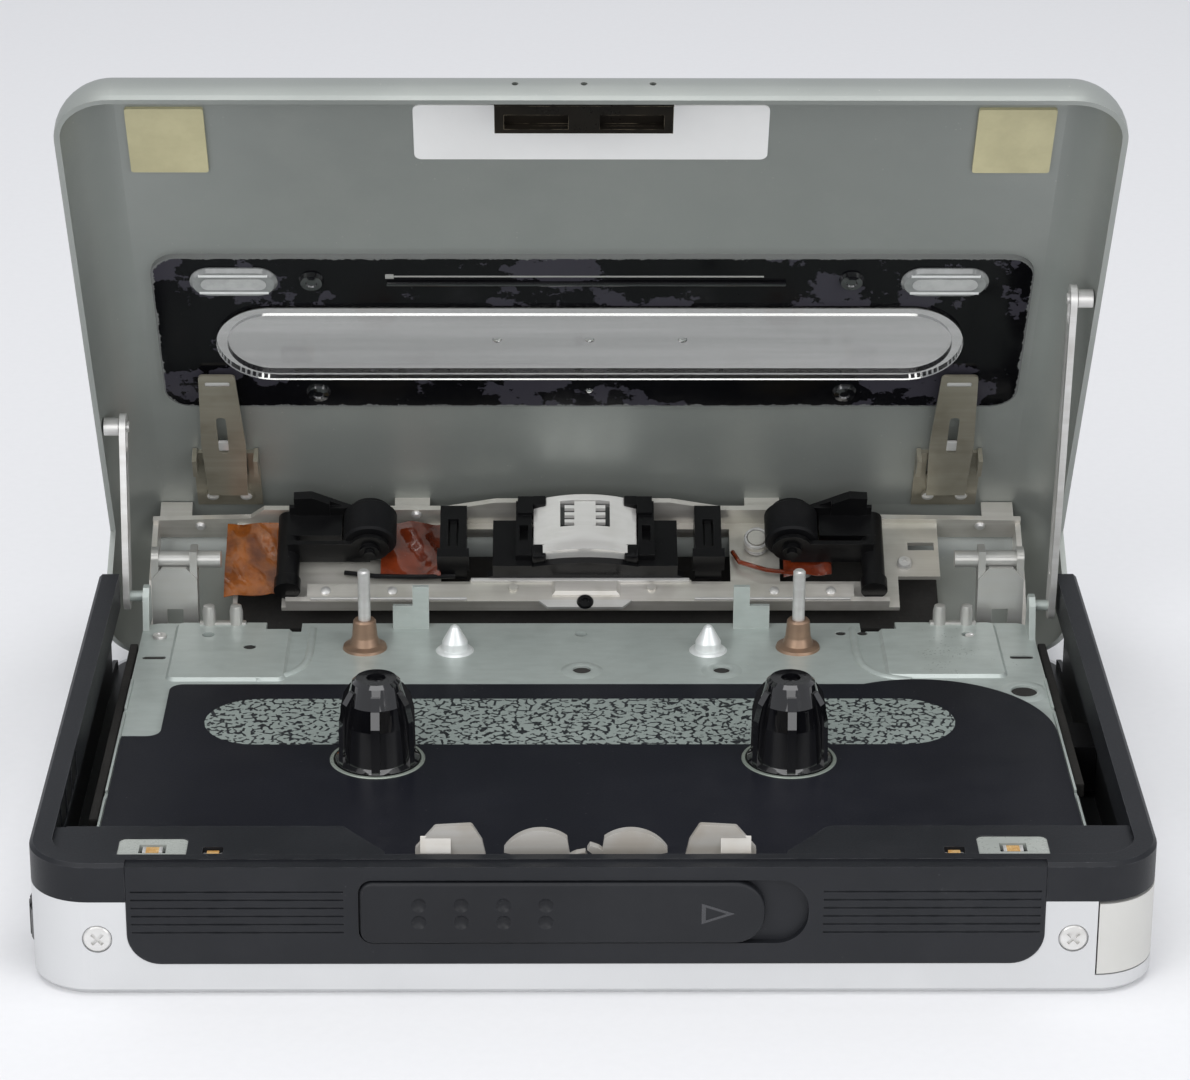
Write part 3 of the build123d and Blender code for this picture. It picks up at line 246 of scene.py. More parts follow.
class Effects:
    """Builds each shared shader group once and places it in materials."""

    def __init__(self) -> None:
        """Start with no group built."""
        self.groups: dict[Effect, bpy.types.NodeTree] = {}

    def use(self, sheet: Sheet, effect: Effect, **values: object) -> bpy.types.Node:
        """Place a group in a material.

        Args:
            sheet: the material's tree.
            effect: which group.
            **values: inputs by name, with underscores for spaces.

        Returns:
            The group node.
        """
        if effect not in self.groups:
            self.groups[effect] = self._build(effect)
        node = sheet.tree.nodes.new("ShaderNodeGroup")
        node.node_tree = self.groups[effect]
        for name, value in values.items():
            sheet.feed(node.inputs[name.replace("_", " ")], value)
        return node

    def _build(self, effect: Effect) -> bpy.types.NodeTree:
        """Make one group's tree.

        Args:
            effect: which group.

        Returns:
            The finished tree.
        """
        tree = bpy.data.node_groups.new(effect.value, "ShaderNodeTree")
        makers: dict[Effect, Callable[[bpy.types.NodeTree], None]] = {
            Effect.GRAIN: self._grain,
            Effect.WEAR: self._wear,
            Effect.DUST: self._dust,
            Effect.STREAK: self._streak,
        }
        makers[effect](tree)
        return tree

    @staticmethod
    def _sockets(tree: bpy.types.NodeTree, inputs: dict[str, object],
                 outputs: dict[str, str]) -> tuple:
        """Declare a group's sockets.

        Args:
            tree: the group's tree.
            inputs: default value by name; a tuple makes a colour.
            outputs: socket type by name.

        Returns:
            The group's input node and output node.
        """
        for name, value in inputs.items():
            kind = "NodeSocketColor" if isinstance(value, tuple) else "NodeSocketFloat"
            socket = tree.interface.new_socket(name=name, in_out="INPUT", socket_type=kind)
            socket.default_value = rgba(value) if isinstance(value, tuple) else value
        for name, kind in outputs.items():
            tree.interface.new_socket(name=name, in_out="OUTPUT", socket_type=kind)
        return tree.nodes.new("NodeGroupInput"), tree.nodes.new("NodeGroupOutput")

    def _grain(self, tree: bpy.types.NodeTree) -> None:
        """Fine moulded or sprayed grain with a slow cloudy change.

        Args:
            tree: the group's empty tree.
        """
        source, sink = self._sockets(
            tree,
            {"Scale": 3000.0, "Cloud": 60.0},
            dict.fromkeys(("Fine", "Slow", "Height"), "NodeSocketFloat"),
        )
        sheet = Sheet(tree)
        fine = sheet.noise(source.outputs["Scale"], 2.0, 0.7)
        slow = sheet.noise(source.outputs["Cloud"], 4.0, 0.6)
        tree.links.new(sheet.ramp(fine, *SPREAD), sink.inputs["Fine"])
        tree.links.new(sheet.ramp(slow, *SPREAD), sink.inputs["Slow"])
        tree.links.new(fine, sink.inputs["Height"])

    def _wear(self, tree: bpy.types.NodeTree) -> None:
        """Paint rubbed thin along edges, found where a rounded normal leaves the flat one; on the rim the
        pale edge colour is also a painted highlight.

        Args:
            tree: the group's empty tree.
        """
        source, sink = self._sockets(
            tree,
            {"Base": (0.5, 0.5, 0.5), "Worn": (0.8, 0.8, 0.8), "Amount": 0.5, "Radius": 0.0001},
            {"Color": "NodeSocketColor", "Mask": "NodeSocketFloat"},
        )
        sheet = Sheet(tree)
        bevel = sheet.add("ShaderNodeBevel", samples=4)
        tree.links.new(source.outputs["Radius"], bevel.inputs["Radius"])
        geometry = sheet.add("ShaderNodeNewGeometry")
        dot = sheet.add("ShaderNodeVectorMath", operation="DOT_PRODUCT")
        tree.links.new(bevel.outputs[0], dot.inputs[0])
        tree.links.new(geometry.outputs["Normal"], dot.inputs[1])
        bent = sheet.math("SUBTRACT", 1.0, dot.outputs["Value"], clamp=True)
        broken = sheet.ramp(sheet.noise(600.0, 2.0, 0.5), 0.36, 0.62)
        rubbed = sheet.math("MULTIPLY", sheet.ramp(bent, 0.015, 0.16), broken)
        mask = sheet.math("MULTIPLY", rubbed, source.outputs["Amount"], clamp=True)
        tree.links.new(mask, sink.inputs["Mask"])
        worn = sheet.mix(mask, source.outputs["Base"], source.outputs["Worn"])
        tree.links.new(worn, sink.inputs["Color"])

    def _dust(self, tree: bpy.types.NodeTree) -> None:
        """Specks of dust and dull handling smudges.

        Args:
            tree: the group's empty tree.
        """
        source, sink = self._sockets(
            tree,
            {"Base": (0.5, 0.5, 0.5), "Dust": (0.6, 0.58, 0.54), "Specks": 0.5, "Smudge": 0.2},
            {"Color": "NodeSocketColor", "Mask": "NodeSocketFloat"},
        )
        sheet = Sheet(tree)
        cells = sheet.add("ShaderNodeTexVoronoi", feature="F1", Scale=900.0, Randomness=1.0)
        tree.links.new(sheet.place(), cells.inputs["Vector"])
        dots = sheet.ramp(cells.outputs["Distance"], 0.12, 0.03)
        thin = sheet.ramp(sheet.noise(260.0, 2.0), 0.52, 0.66)
        specks = sheet.math("MULTIPLY", dots, thin)
        specks = sheet.math("MULTIPLY", specks, source.outputs["Specks"])
        cloudy = sheet.ramp(sheet.noise(75.0, 5.0, 0.7), 0.46, 0.72)
        smear = sheet.math("MULTIPLY", cloudy, source.outputs["Smudge"])
        mask = sheet.math("ADD", specks, smear, clamp=True)
        tree.links.new(mask, sink.inputs["Mask"])
        dusty = sheet.mix(mask, source.outputs["Base"], source.outputs["Dust"])
        tree.links.new(dusty, sink.inputs["Color"])

    def _streak(self, tree: bpy.types.NodeTree) -> None:
        """Long fine rolling marks along X.

        Args:
            tree: the group's empty tree.
        """
        source, sink = self._sockets(
            tree,
            {"Scale": 1600.0, "Stretch": 0.05},
            {"Value": "NodeSocketFloat", "Height": "NodeSocketFloat"},
        )
        sheet = Sheet(tree)
        across = sheet.add("ShaderNodeCombineXYZ", Y=1.0, Z=1.0)
        tree.links.new(source.outputs["Stretch"], across.inputs["X"])
        scaled = sheet.add("ShaderNodeVectorMath", operation="MULTIPLY")
        tree.links.new(sheet.place(), scaled.inputs[0])
        tree.links.new(across.outputs[0], scaled.inputs[1])
        lines = sheet.noise(source.outputs["Scale"], 3.0, 0.6, scaled.outputs[0])
        tree.links.new(sheet.ramp(lines, *SPREAD), sink.inputs["Value"])
        tree.links.new(lines, sink.inputs["Height"])


EFFECTS = Effects()


@dataclass(frozen=True)
class Finish:
    """A finish with cloudy colour, grain, edge wear and dust.

    The two colours are the ends of a slow drift over the surface, and the two
    roughness values are those of its smoothest and dullest spots.
    """

    name: str
    base: Colour
    drift: Colour
    smooth: float = 0.3
    dull: float = 0.5
    metallic: float = 0.0
    coat: float = 0.0
    coat_rough: float = 0.1
    grain: float = 3000.0
    bump: float = 0.1
    cloud: float = 60.0
    worn: Colour = (0.6, 0.6, 0.6)
    wear: float = 0.0
    specks: float = 0.2
    smudge: float = 0.1
    dust: Colour = (0.55, 0.54, 0.5)
    ior: float = 1.5

    def build(self) -> bpy.types.Material:
        """Build the material.

        Returns:
            The new material.
        """
        material, sheet, shader = new_material(self.name)
        grain = EFFECTS.use(sheet, Effect.GRAIN, Scale=self.grain, Cloud=self.cloud)
        colour = self.colour(sheet, sheet.mix(grain.outputs["Slow"], self.base, self.drift))
        if self.wear > 0:
            edge = EFFECTS.use(sheet, Effect.WEAR, Base=colour, Worn=self.worn, Amount=self.wear)
            colour = edge.outputs["Color"]
        dusty = EFFECTS.use(
            sheet, Effect.DUST, Base=colour, Dust=self.dust, Specks=self.specks, Smudge=self.smudge
        )
        sheet.feed(shader.inputs["Base Color"], dusty.outputs["Color"])
        fine = sheet.math("MULTIPLY", grain.outputs["Fine"], 0.5)
        slow = sheet.math("MULTIPLY", grain.outputs["Slow"], 0.5)
        spread = sheet.math("ADD", fine, slow, clamp=True)
        spread = sheet.math("ADD", spread, dusty.outputs["Mask"], clamp=True)
        spread = sheet.math("MULTIPLY", spread, self.dull - self.smooth)
        level = sheet.math("ADD", spread, self.smooth)
        sheet.feed(shader.inputs["Roughness"], level)
        shader.inputs["Metallic"].default_value = self.metallic
        shader.inputs["Coat Weight"].default_value = self.coat
        shader.inputs["Coat Roughness"].default_value = self.coat_rough
        shader.inputs["IOR"].default_value = self.ior
        self.relief(sheet, shader, grain.outputs["Height"])
        return material

    def colour(self, sheet: Sheet, drifted: bpy.types.NodeSocket) -> bpy.types.NodeSocket:
        """Return the colour under wear and dust; plain finishes keep the drift."""
        return drifted

    def relief(self, sheet: Sheet, shader: bpy.types.Node, height: bpy.types.NodeSocket) -> None:
        """Feed the grain's height to the shader through a bump node.

        Args:
            sheet: the material's tree.
            shader: the Principled BSDF.
            height: the grain's height socket.
        """
        bump = sheet.add("ShaderNodeBump", Strength=self.bump, Distance=GRAIN_DEPTH)
        sheet.feed(bump.inputs["Height"], height)
        sheet.feed(shader.inputs["Normal"], bump.outputs["Normal"])


@dataclass(frozen=True)
class RolledMetal(Finish):
    """Bare sheet metal with rolling marks and tarnish."""

    tarnish: Colour = (0.3, 0.27, 0.22)
    tarnish_share: float = 0.4
    stretch: float = 0.05
    line_scale: float = 900.0
    line_share: float = 0.25
    spot_scale: float = 260.0

    def colour(self, sheet: Sheet, drifted: bpy.types.NodeSocket) -> bpy.types.NodeSocket:
        """Darken the metal with streaks and tarnish.

        Args:
            sheet: the material's tree.
            drifted: the drifting base colour.

        Returns:
            The streaked colour's socket.
        """
        lines = EFFECTS.use(sheet, Effect.STREAK, Scale=self.line_scale, Stretch=self.stretch)
        shade = sheet.math("MULTIPLY", lines.outputs["Value"], self.line_share)
        streaked = sheet.mix(shade, drifted, self.tarnish)
        spots = sheet.ramp(sheet.noise(self.spot_scale, 2.0, 0.5), 0.5, 0.7)
        return sheet.mix(sheet.math("MULTIPLY", spots, self.tarnish_share), streaked, self.tarnish)


@dataclass(frozen=True)
class DarkInsidePaint(Finish):
    """Silver paint whose colour turns near-black on the tray's inner faces."""

    inside: Colour = (0.022, 0.023, 0.024)
    outline: Point = (0.0541, 0.03975, 0.006)
    half_wall: tuple[float, float] = (0.00045, 0.0006)
    half_floor: tuple[float, float] = (0.0004, 0.0005)

    def colour(self, sheet: Sheet, drifted: bpy.types.NodeSocket) -> bpy.types.NodeSocket:
        """Darken what lies deeper than half a wall inside the rounded outline.

        Args:
            sheet: the material's tree.
            drifted: the paint's colour.

        Returns:
            The lined colour's socket.
        """
        depth = rounded_depth(sheet, sheet.place(), (0.0, 0.0), self.outline)
        inner = sheet.ramp(depth, *self.half_wall)
        axes = sheet.add("ShaderNodeSeparateXYZ", Vector=sheet.place())
        above = sheet.ramp(axes.outputs["Z"], *self.half_floor)
        return sheet.mix(sheet.math("MULTIPLY", inner, above), drifted, self.inside)


@dataclass(frozen=True)
class PrintedBacking(Finish):
    """Black print on the back of clear plastic, ragged along its border."""

    thin: Colour = (0.040, 0.038, 0.048)
    # painted highlight: the pale colour of the bare clear edge where the print stops
    rim: Colour = (0.16, 0.165, 0.16)
    outline: Point = (0.04715, 0.01265, 0.003)
    centre: tuple[float, float] = (0.00035, 0.0028)
    hinge: Point = (0.0, 0.03785, 0.0034)
    open_angle: float = 1.02625
    patch_scale: float = 115.0
    fray_scale: float = 420.0
    fray: float = 0.0006
    border: tuple[float, float] = (0.0002, 0.00012)

    def colour(self, sheet: Sheet, drifted: bpy.types.NodeSocket) -> bpy.types.NodeSocket:
        """Let the print stop short of the border along a ragged line, and paint the bare edge pale as a
        highlight.

        Args:
            sheet: the material's tree.
            drifted: the drifting base colour.

        Returns:
            The ragged colour's socket.
        """
        shut = sheet.add("ShaderNodeVectorRotate", rotation_type="X_AXIS", Vector=sheet.place(),
                         Center=self.hinge, Angle=self.open_angle)
        depth = rounded_depth(sheet, shut.outputs["Vector"], self.centre, self.outline)
        patches = sheet.ramp(sheet.noise(self.patch_scale, 6.0, 0.62), 0.545, 0.56)
        ragged = sheet.ramp(sheet.noise(self.fray_scale, 6.0, 0.8), 0.45, 0.8)
        ragged = sheet.math("MULTIPLY", ragged, self.fray)
        edge = sheet.ramp(sheet.math("SUBTRACT", depth, ragged), *self.border)
        return sheet.mix(edge, sheet.mix(patches, drifted, self.thin), self.rim)


@dataclass(frozen=True)
class SpeckledInk(Finish):
    """Grey ink broken up by short dark dashes."""

    ink: Colour = (0.265, 0.305, 0.285)
    dash_scale: float = 1020.0
    break_scale: float = 1350.0

    def colour(self, sheet: Sheet, drifted: bpy.types.NodeSocket) -> bpy.types.NodeSocket:
        """Scatter dark flecks over the ink.

        Args:
            sheet: the material's tree.
            drifted: the dark ground colour.

        Returns:
            The flecked colour's socket.
        """
        cells = sheet.add("ShaderNodeTexVoronoi", feature="DISTANCE_TO_EDGE", Scale=self.dash_scale,
                          Vector=sheet.place())
        lines = sheet.ramp(cells.outputs["Distance"], 0.09, 0.15)
        breaks = sheet.ramp(sheet.noise(self.break_scale, 1.0), 0.5, 0.54)
        flecks = sheet.math("MAXIMUM", lines, breaks)
        return sheet.mix(flecks, drifted, self.ink)


@dataclass(frozen=True)
class ClearPlastic:
    """Clear or tinted plastic that light passes through."""

    name: str
    tint: Colour
    rough: float = 0.04
    ior: float = 1.47
    transmission: float = 1.0
    band_scale: float = 330.0
    band_stretch: float = 0.04
    band_tint: Colour = (0.66, 0.66, 0.64)
    band_share: float = 0.4
    band_rough: float = 0.08

    def build(self) -> bpy.types.Material:
        """Build the material.

        Returns:
            The new material.
        """
        material, sheet, shader = new_material(self.name)
        bands = EFFECTS.use(sheet, Effect.STREAK, Scale=self.band_scale, Stretch=self.band_stretch)
        haze = bands.outputs["Value"]
        tone = sheet.mix(sheet.math("MULTIPLY", haze, self.band_share), self.tint, self.band_tint)
        sheet.feed(shader.inputs["Base Color"], tone)
        level = sheet.math("ADD", sheet.math("MULTIPLY", haze, self.band_rough), self.rough)
        sheet.feed(shader.inputs["Roughness"], level)
        shader.inputs["IOR"].default_value = self.ior
        shader.inputs["Transmission Weight"].default_value = self.transmission
        return material


def rounded_depth(sheet: Sheet, vector: bpy.types.NodeSocket, centre: tuple[float, float],
                  outline: Point) -> bpy.types.NodeSocket:
    """Measure how deep a point lies inside a rounded rectangle, in plan.

    Args:
        sheet: the material's tree.
        vector: the point's coordinates.
        centre: the rectangle's centre.
        outline: half length, half width and corner radius.

    Returns:
        The depth's socket, in metres and positive inside.
    """
    axes = sheet.add("ShaderNodeSeparateXYZ", Vector=vector)
    outer = []
    for name, middle, reach in (("X", centre[0], outline[0]), ("Y", centre[1], outline[1])):
        away = sheet.math("ABSOLUTE", sheet.math("SUBTRACT", axes.outputs[name], middle))
        outer.append(sheet.math("SUBTRACT", away, reach - outline[2]))
    squares = [sheet.math("POWER", sheet.math("MAXIMUM", value, 0.0), 2.0) for value in outer]
    corner = sheet.math("SQRT", sheet.math("ADD", squares[0], squares[1]))
    flat = sheet.math("MINIMUM", sheet.math("MAXIMUM", outer[0], outer[1]), 0.0)
    return sheet.math("SUBTRACT", outline[2], sheet.math("ADD", corner, flat))


def new_material(name: str) -> tuple[bpy.types.Material, Sheet, bpy.types.Node]:
    """Make an empty node material.

    Args:
        name: the material's name.

    Returns:
        The material, its sheet and its Principled BSDF.
    """
    material = bpy.data.materials.new(name)
    material.use_nodes = True
    shader = next(n for n in material.node_tree.nodes if n.bl_idname == "ShaderNodeBsdfPrincipled")
    return material, Sheet(material.node_tree), shader


class Shop:
    """Keeps the finishes and gives each out as a built material."""

    def __init__(self) -> None:
        """Name every finish of the player."""
        satin_black = dict(
            metallic=0.0, smooth=0.38, dull=0.52, bump=0.12, grain=5200.0, ior=1.36,
            dust=(0.13, 0.13, 0.135),
        )
        nickel = dict(
            metallic=0.5, smooth=0.28, dull=0.33, grain=1500.0, bump=0.03, specks=0.1, smudge=0.04,
            dust=(0.58, 0.56, 0.51),
        )
        rough_nickel = dict(nickel, smooth=0.4, dull=0.46, metallic=0.35)
        dark_dust = (0.15, 0.15, 0.15)
        milky = dict(coat=1.0, coat_rough=0.03, bump=0.05, specks=0.1, smudge=0.03)
        film_gloss = dict(
            smooth=0.06, dull=0.16, coat=1.0, coat_rough=0.03, grain=1500.0, bump=0.02, cloud=300.0,
            specks=0.1, smudge=0.0,
        )
        self.finishes: dict[str, Finish | ClearPlastic] = {
            "lid": Finish(
                "lid_metal", (0.37, 0.39, 0.37), (0.32, 0.34, 0.322), metallic=0.5, smooth=0.34,
                dull=0.5, grain=6500.0, bump=0.12, cloud=26.0, worn=(0.6, 0.58, 0.53), wear=0.35,
                specks=0.55, smudge=0.08, dust=(0.56, 0.56, 0.52),
            ),
            # the case's colour turns near-black on the tray's inner faces, deeper than half a wall
            "case": DarkInsidePaint(
                "case_silver", (0.64, 0.645, 0.65), (0.59, 0.595, 0.6), metallic=0.4, smooth=0.32,
                dull=0.44, grain=5200.0, bump=0.12, cloud=30.0, worn=(0.75, 0.75, 0.76), wear=0.25,
                specks=0.12, smudge=0.04, dust=(0.4, 0.4, 0.4),
            ),
            # the rim's pale worn colour is partly edge wear and partly a painted highlight along the
            # frame's edges
            "rim": Finish(
                "rim_black", (0.007, 0.008, 0.0105), (0.011, 0.012, 0.015), worn=(0.16, 0.16, 0.17),
                wear=0.45, specks=0.25, smudge=0.03, **satin_black,
            ),
            "panel": Finish(
                "panel_black", (0.008, 0.009, 0.0115), (0.012, 0.013, 0.016),
                worn=(0.09, 0.09, 0.1), wear=0.3, specks=0.15, smudge=0.02, **satin_black,
            ),
            "knob": Finish(
                "knob_black", (0.007, 0.0075, 0.0095), (0.01, 0.011, 0.0135),
                worn=(0.09, 0.09, 0.1), wear=0.3, specks=0.15, smudge=0.02, **satin_black,
            ),
            "arrow": Finish(
                "arrow_gloss", (0.02, 0.021, 0.025), (0.03, 0.031, 0.035), smooth=0.2, dull=0.3,
                coat=0.5, specks=0.05, smudge=0.0, dust=dark_dust,
            ),
            "nickel": RolledMetal(
                "nickel_plate", (0.74, 0.71, 0.67), (0.6, 0.59, 0.53), worn=(0.9, 0.89, 0.86),
                wear=0.5, tarnish=(0.34, 0.31, 0.26), tarnish_share=0.22, **nickel,
            ),
            "spring": RolledMetal(
                "spring_steel", (0.37, 0.345, 0.28), (0.29, 0.27, 0.21), worn=(0.62, 0.6, 0.52),
                wear=0.35, tarnish=(0.16, 0.14, 0.1), tarnish_share=0.3, **nickel,
            ),
            "stained": RolledMetal(
                "stained_nickel", (0.52, 0.51, 0.485), (0.45, 0.435, 0.405),
                worn=(0.78, 0.77, 0.73), wear=0.45, tarnish=(0.34, 0.28, 0.21), tarnish_share=0.3,
                **rough_nickel,
            ),
            "pale": RolledMetal(
                "pale_nickel", (0.54, 0.54, 0.52), (0.46, 0.46, 0.44), worn=(0.8, 0.8, 0.78),
                wear=0.5, tarnish=(0.45, 0.43, 0.38), tarnish_share=0.2, **nickel,
            ),
            "bright": RolledMetal(
                "bright_steel", (0.76, 0.755, 0.74), (0.68, 0.675, 0.66), worn=(0.9, 0.9, 0.88),
                wear=0.3, tarnish=(0.36, 0.34, 0.3), tarnish_share=0.18, **nickel,
            ),
            "chrome": RolledMetal(
                "chrome_face", (0.93, 0.915, 0.89), (0.86, 0.845, 0.82), metallic=0.4, smooth=0.14,
                dull=0.26, coat=0.6, coat_rough=0.05, grain=2600.0, bump=0.02, specks=0.15,
                smudge=0.03, worn=(0.97, 0.97, 0.96), wear=0.4, tarnish=(0.55, 0.52, 0.48),
                tarnish_share=0.12,
            ),
            "washer": Finish(
                "green_washer", (0.36, 0.4, 0.35), (0.28, 0.32, 0.28), metallic=0.5, smooth=0.25,
                dull=0.4, specks=0.2, smudge=0.03,
            ),
            "deck": RolledMetal(
                "deck_plate", (0.53, 0.585, 0.555), (0.45, 0.5, 0.475), metallic=0.22, smooth=0.26,
                dull=0.4, grain=2600.0, bump=0.06, cloud=38.0, worn=(0.8, 0.81, 0.77), wear=0.6,
                specks=0.4, smudge=0.06, tarnish=(0.33, 0.37, 0.345), tarnish_share=0.25,
                stretch=0.3, coat=0.25, coat_rough=0.2, dust=(0.66, 0.66, 0.61),
            ),
            "plate": Finish(
                "plate_black", (0.0055, 0.006, 0.01), (0.008, 0.0085, 0.0135), smooth=0.32,
                dull=0.44, grain=4200.0, bump=0.08, worn=(0.16, 0.17, 0.18), wear=0.3, specks=0.35,
                smudge=0.02, dust=(0.17, 0.17, 0.17), ior=1.3,
            ),
            "band": SpeckledInk(
                "speckled_ink", (0.01, 0.012, 0.015), (0.014, 0.016, 0.02), smooth=0.36, dull=0.5,
                specks=0.15, smudge=0.02, dust=dark_dust,
            ),
            "gloss": Finish(
                "gloss_black", (0.003, 0.003, 0.004), (0.005, 0.005, 0.006), smooth=0.05, dull=0.12,
                coat=1.0, coat_rough=0.02, grain=1800.0, bump=0.02, specks=0.15, smudge=0.01,
                dust=dark_dust,
            ),
            "moulded": Finish(
                "moulded_black", (0.003, 0.003, 0.0035), (0.006, 0.006, 0.0065), smooth=0.26,
                dull=0.4, grain=3600.0, bump=0.1, worn=(0.07, 0.07, 0.07), wear=0.35, specks=0.2,
                smudge=0.03, dust=(0.12, 0.115, 0.11), ior=1.3,
            ),
            "strip": Finish(
                "strip_black", (0.018, 0.016, 0.014), (0.035, 0.028, 0.02), metallic=0.6,
                smooth=0.25, dull=0.4, worn=(0.5, 0.42, 0.3), wear=0.8, specks=0.2, smudge=0.03,
                dust=dark_dust,
            ),
            "cone": Finish(
                "silver_cone", (0.86, 0.88, 0.87), (0.78, 0.81, 0.8), metallic=0.35, smooth=0.25,
                dull=0.4, grain=2600.0, bump=0.06, specks=0.1, smudge=0.03,
            ),
            "bronze": RolledMetal(
                "sintered_bronze", (0.4, 0.265, 0.18), (0.3, 0.195, 0.135), metallic=0.65,
                smooth=0.3, dull=0.48, grain=5200.0, bump=0.2, tarnish=(0.16, 0.115, 0.085),
                smudge=0.03,
            ),
            "rubber": Finish(
                "ground_rubber", (0.004, 0.004, 0.005), (0.008, 0.008, 0.0085), ior=1.3,
                smooth=0.45, dull=0.7, grain=5200.0, bump=0.35, specks=0.25, smudge=0.06,
                dust=(0.08, 0.075, 0.07),
            ),
            "backing": PrintedBacking(
                "printed_backing", (0.0025, 0.0025, 0.003), (0.004, 0.004, 0.005), smooth=0.08,
                dull=0.18, grain=1500.0, bump=0.02, specks=0.2, smudge=0.0, dust=dark_dust,
                ior=1.22,
            ),
            "clear": ClearPlastic("clear_plastic", (0.36, 0.362, 0.35)),
            "drop": ClearPlastic("moulded_drop", (0.95, 0.96, 0.95), rough=0.02),
            # painted highlight: the near-white colour of the prism ridges
            "ridge": Finish(
                "prism_ridge_highlight", (0.78, 0.79, 0.78), (0.66, 0.67, 0.66), smooth=0.06, dull=0.18,
                cloud=300.0, **milky,
            ),
            "haze": Finish(
                "prism_step", (0.34, 0.345, 0.34), (0.46, 0.465, 0.455), smooth=0.08, dull=0.2,
                cloud=400.0, **milky,
            ),
            "prism": Finish(
                "milky_prism", (0.17, 0.175, 0.17), (0.25, 0.26, 0.255), smooth=0.06, dull=0.16,
                cloud=300.0, **milky,
            ),
            "film": Finish("amber_film", (0.38, 0.115, 0.022), (0.13, 0.034, 0.009), **film_gloss),
            "film_red": Finish(
                "red_film", (0.22, 0.035, 0.009), (0.07, 0.012, 0.005), **film_gloss,
            ),
            "pad": Finish(
                "yellowed_pad", (0.56, 0.52, 0.32), (0.47, 0.435, 0.26), smooth=0.35, dull=0.55,
                cloud=150.0, grain=2400.0, bump=0.25, specks=0.3, smudge=0.12,
                dust=(0.38, 0.36, 0.26),
            ),
            "paper": Finish(
                "label_paper", (0.86, 0.86, 0.85), (0.82, 0.82, 0.81), smooth=0.5, dull=0.66,
                grain=5200.0, bump=0.2, specks=0.15, smudge=0.04, dust=(0.66, 0.66, 0.64),
            ),
            "cream": Finish(
                "cream_plastic", (0.55, 0.545, 0.52), (0.51, 0.505, 0.48), smooth=0.32, dull=0.46,
                grain=4200.0, bump=0.1, specks=0.2, smudge=0.05, dust=(0.5, 0.49, 0.45),
            ),
            "well": Finish(
                "light_well", (0.4, 0.42, 0.39), (0.3, 0.32, 0.3), smooth=0.2, dull=0.4, coat=0.4,
                grain=2200.0, bump=0.1, specks=0.2, smudge=0.05,
            ),
            "lamp": Finish(
                "chip_lamp", (0.5, 0.26, 0.07), (0.62, 0.42, 0.18), smooth=0.2, dull=0.35,
                cloud=900.0, coat=0.6, specks=0.1, smudge=0.02,
            ),
            "board": Finish(
                "board_green", (0.02, 0.1, 0.05), (0.03, 0.13, 0.07), smooth=0.3, dull=0.45,
                coat=0.3, specks=0.2, smudge=0.03,
            ),
            "brass": RolledMetal("turned_brass", (0.55, 0.42, 0.2), (0.45, 0.34, 0.16), **nickel),
            "foam": Finish(
                "dark_foam_and_shade", (0.016, 0.015, 0.014), (0.03, 0.028, 0.025), smooth=0.8, dull=0.95,
                grain=1800.0, bump=1.0, specks=0.3, smudge=0.2, dust=(0.08, 0.075, 0.07),
            ),
            "white": Finish(
                "white_plastic", (0.78, 0.78, 0.75), (0.72, 0.72, 0.7), smooth=0.35, dull=0.5,
                specks=0.1, smudge=0.03,
            ),
        }
        self.built: dict[str, bpy.types.Material] = {}

    def get(self, name: str) -> bpy.types.Material:
        """Return a finish's material, built on first use.

        Args:
            name: key of the finish.

        Returns:
            The material.
        """
        if name not in self.built:
            self.built[name] = self.finishes[name].build()
        return self.built[name]


NODE_FINISH: dict[str, Sequence[str]] = {
    "lid": ["lid_shell"],
    "case": ["lower_case"],
    "rim": ["middle_frame"],
    "panel": ["front_panel"],
    "knob": ["open_knob"],
    "nickel": ["mechanism_frame", "latch_slide", "azimuth_screw", "battery_contact"],
    "spring": ["hold_down_springs"],
    "stained": ["latch_bracket", "latch_hook_left", "latch_hook_right"],
    "pale": ["hinge_brackets"],
    "strip": ["catch_strip"],
    "bright": [
        "hinge_pins", "stay_link_left", "stay_link_right", "link_pins", "case_screws", "capstan_shaft_left",
        "capstan_shaft_right", "drive_motor", "idler_post",
    ],
    "chrome": ["tape_head"],
    "deck": ["chassis_plate"],
    "plate": ["label_plate"],
    "gloss": ["reel_spindle_left", "reel_spindle_right"],
    "moulded": [
        "head_mount", "tape_guides", "pinch_arm_left", "pinch_arm_right", "volume_wheel", "headphone_jack",
        "rewind_key", "stop_key", "play_key", "forward_key",
    ],
    "cone": ["locating_pins"],
    "bronze": ["capstan_bearings"],
    "rubber": ["pinch_roller_left", "pinch_roller_right", "drive_belt"],
    "backing": ["window_panel"],
    "clear": ["window_lens"],
    "prism": ["light_prisms"],
    "film": ["flex_film"],
    "pad": ["lid_pads"],
    "paper": ["blank_label"],
    "cream": ["battery_door"],
    "well": ["indicator_lenses"],
    "lamp": ["indicator_lamps"],
    "board": ["main_board"],
    "brass": ["flywheel_left", "flywheel_right"],
    "white": ["reel_gear_left", "reel_gear_right", "motor_pulley", "idler_pulley"],
}


